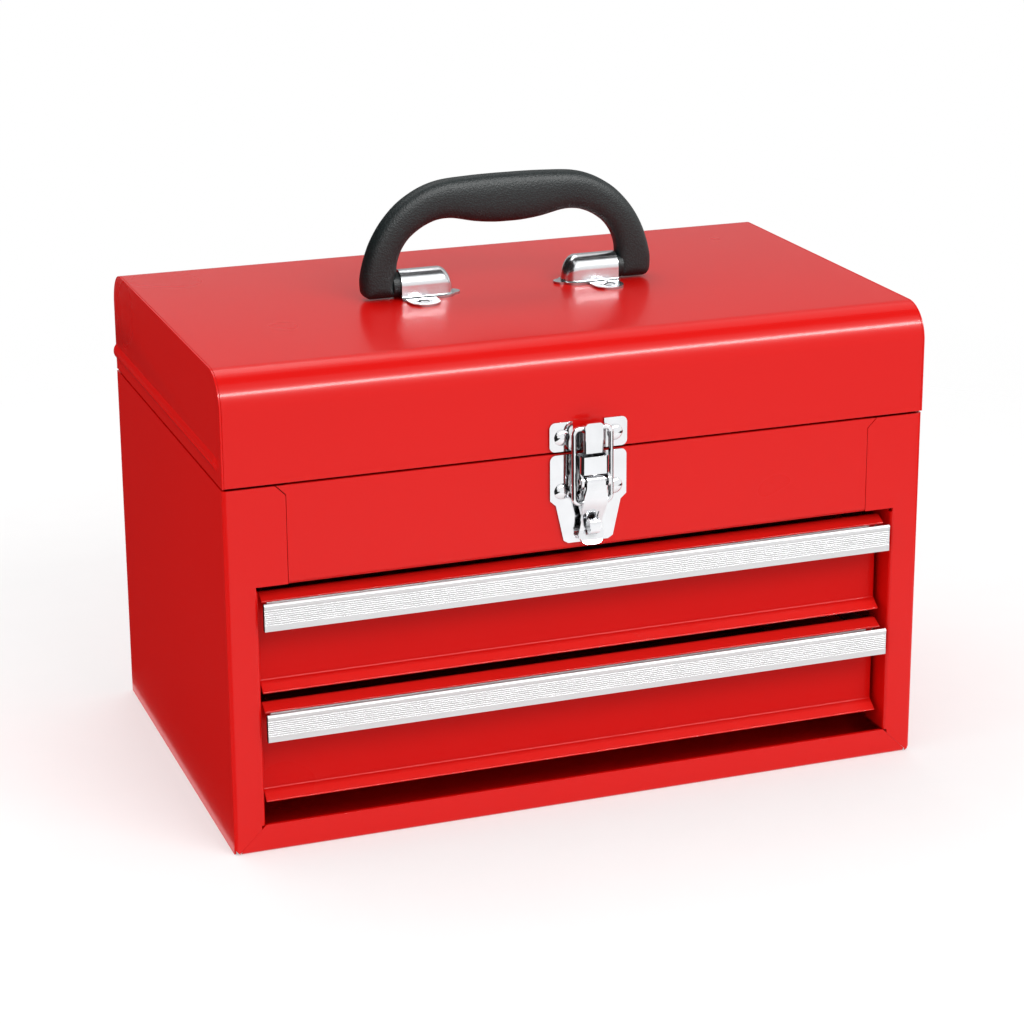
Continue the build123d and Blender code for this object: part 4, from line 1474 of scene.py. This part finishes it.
@dataclass(frozen=True)
class Card:
    """A card that only reflections see.

    Attributes:
        name: the card's name.
        place: its middle, m.
        aim: the point that it faces, m.
        width: m.
        height: m.
        tone: its grey.
    """

    name: str
    place: Triple
    aim: Triple
    width: float
    height: float
    tone: float = 0.015


@dataclass(frozen=True)
class StudioSizes:
    """Camera, floor and light of the studio.

    Attributes:
        eye: where the camera stands, m.
        right: direction across its picture.
        up: direction up its picture.
        lens: focal length, mm.
        sensor: the sensor's width, mm.
        shift_y: the lens's vertical shift, as a share of the sensor.
        ground: the floor's finish and radius.
        floor_rings: rings of points in the floor.
        floor_sides: points round the floor.
        sky: the white room's strength on what it lights.
        lamps: the softboxes.
        cards: the cards.
    """

    eye: Triple = (-0.471774, -1.308392, 0.582306)
    right: Triple = (0.93958878, -0.34226086, -0.00551576)
    up: Triple = (0.10349014, 0.26867218, 0.95765602)
    lens: float = 96.86
    sensor: float = 36.0
    shift_y: float = -0.080
    ground: Ground = Ground()
    floor_rings: int = 12
    floor_sides: int = 96
    sky: float = 0.7
    lamps: tuple[Lamp, ...] = (
        Lamp("key", (0.5, -1.35, 1.25), (0.0, 0.0, 0.12), (1.3, 0.7), 15.0, mirrored=False),
        Lamp("top", (-0.25, 0.7, 1.6), (-0.05, 0.0, 0.2), (1.4, 0.8), 6.5),
        Lamp("edge", (0.43, -1.2, 1.2), (0.0, -0.1, 0.24), (2.0, 0.18), 38.0, spreads=False),
        Lamp("side", (-1.35, -0.1, 0.7), (0.0, 0.0, 0.16), (0.9, 0.6), 3.8, mirrored=False),
    )
    cards: tuple[Card, ...] = (
        Card("left_floor", (-0.71, -0.1, 0.001), (-0.71, -0.1, 1.0), 1.05, 2.4),
        Card("back_floor", (0.0, 0.62, 0.001), (0.0, 0.62, 1.0), 0.38, 0.96),
        Card("left_wall", (-1.25, -0.1, 0.9), (0.0, -0.1, 0.9), 2.6, 1.8),
        Card("left_back", (-0.77, 1.12, 0.9), (-0.77, 0.0, 0.9), 1.18, 1.8),
        Card("right_floor", (0.8, -0.1, 0.001), (0.8, -0.1, 1.0), 0.7, 1.0),
        Card("left_front", (-0.95, -0.75, 0.22), (0.0, -0.1, 0.15), 0.8, 0.44),
        Card("ceiling", (0.3, -0.2, 1.3), (0.3, -0.2, 0.0), 1.6, 0.5),
        Card("back_wall", (0.92, 1.35, 0.8), (0.92, 0.0, 0.8), 2.2, 1.6, 0.42),
    )


def facing(place: Triple, aim: Triple) -> Matrix:
    """Turn and place of a thing whose front, its -Z, is towards another point.

    Args:
        place: where it is, m.
        aim: the point that it faces, m.

    Returns:
        Its world matrix.
    """
    towards = (Vector(aim) - Vector(place)).to_track_quat("-Z", "Y")
    return Matrix.Translation(place) @ towards.to_matrix().to_4x4()


class Studio:
    """White floor and backdrop, softboxes and the camera."""

    def __init__(self, sizes: StudioSizes = StudioSizes()) -> None:
        """Keeps the sizes.

        Args:
            sizes: camera, floor and light.
        """
        self.sizes = sizes

    def build(self) -> None:
        """Makes floor, sky, lamps, camera and view settings."""
        self._floor()
        self._sky()
        for lamp in self.sizes.lamps:
            self._lamp(lamp)
        for card in self.sizes.cards:
            self._card(card)
        self._camera()
        bpy.context.scene.view_settings.view_transform = "Standard"

    def _floor(self) -> None:
        """Lays the round floor: rings of points at even angles, by their cosine and sine."""
        ground = self.sizes.ground
        radius = ground.radius / MM * np.linspace(0.0, 1.0, self.sizes.floor_rings)[1:, None]
        angle = turn(self.sizes.floor_sides)
        points = grid(radius * np.cos(angle), radius * np.sin(angle), 0.0)
        floor = Mesher.surface("floor", Patch(points, wrap_cols=True, fans=(0,), flip=True))
        floor.data.materials.append(ground.material())

    def _card(self, card: Card) -> None:
        """Hangs one card.

        Args:
            card: its sizes.
        """
        across, up = (np.array([-0.5, 0.5]) * span / MM for span in (card.width, card.height))
        plane = Mesher.surface(card.name, Patch(grid(across[:, None], up, 0.0)))
        plane.data.materials.append(Felt(card.name, card.tone).material())
        plane.matrix_world = facing(card.place, card.aim)
        plane.visible_camera = False
        plane.visible_diffuse = False
        plane.visible_shadow = False

    def _sky(self) -> None:
        """Lights the room softly and shows plain white behind the object."""
        world = bpy.data.worlds.new("studio")
        bpy.context.scene.world = world
        world.use_nodes = True
        sheet = NodeSheet(world.node_tree)
        path = sheet.add("ShaderNodeLightPath")
        seen = sheet.wire(path, "Is Camera Ray") + sheet.wire(path, "Is Glossy Ray")
        seen = (seen + sheet.wire(path, "Is Transmission Ray")).clamped()
        strength = self.sizes.sky + (1.0 - self.sizes.sky) * seen
        back = sheet.add("ShaderNodeBackground", Color=opaque(1.0), Strength=strength)
        sheet.add("ShaderNodeOutputWorld", Surface=sheet.wire(back))

    def _lamp(self, lamp: Lamp) -> None:
        """Hangs one softbox.

        Args:
            lamp: its sizes and power.
        """
        data = bpy.data.lights.new(lamp.name, "AREA")
        data.shape = "RECTANGLE"
        data.size, data.size_y = lamp.size
        data.energy = lamp.power
        made = self._hang(lamp.name, data, facing(lamp.place, lamp.aim))
        made.visible_glossy = lamp.mirrored
        made.visible_diffuse = lamp.spreads

    def _camera(self) -> None:
        """Places the camera that was fitted to the photograph's edges."""
        sizes = self.sizes
        data = bpy.data.cameras.new("camera")
        data.lens = sizes.lens
        data.sensor_width = sizes.sensor
        data.shift_y = sizes.shift_y
        right, up = Vector(sizes.right), Vector(sizes.up)
        axes = Matrix((right, up, right.cross(up))).transposed().to_4x4()
        bpy.context.scene.camera = self._hang("camera", data, Matrix.Translation(sizes.eye) @ axes)

    @staticmethod
    def _hang(name: str, data: bpy.types.ID, matrix: Matrix) -> bpy.types.Object:
        """Puts a lamp or a camera into the scene.

        Args:
            name: the object's name.
            data: the lamp's or camera's own settings.
            matrix: its world matrix.

        Returns:
            The object.
        """
        made = bpy.data.objects.new(name, data)
        bpy.context.scene.collection.objects.link(made)
        made.matrix_world = matrix
        return made


# ============================================================ run


def main() -> None:
    """Builds the object and its studio."""
    logging.basicConfig(level=logging.INFO)
    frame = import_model()
    for assembly in (Case, Drawers, Lid, Latch, Carrier):
        assembly(frame).build()
    Studio().build()


if __name__ == "__main__":
    main()
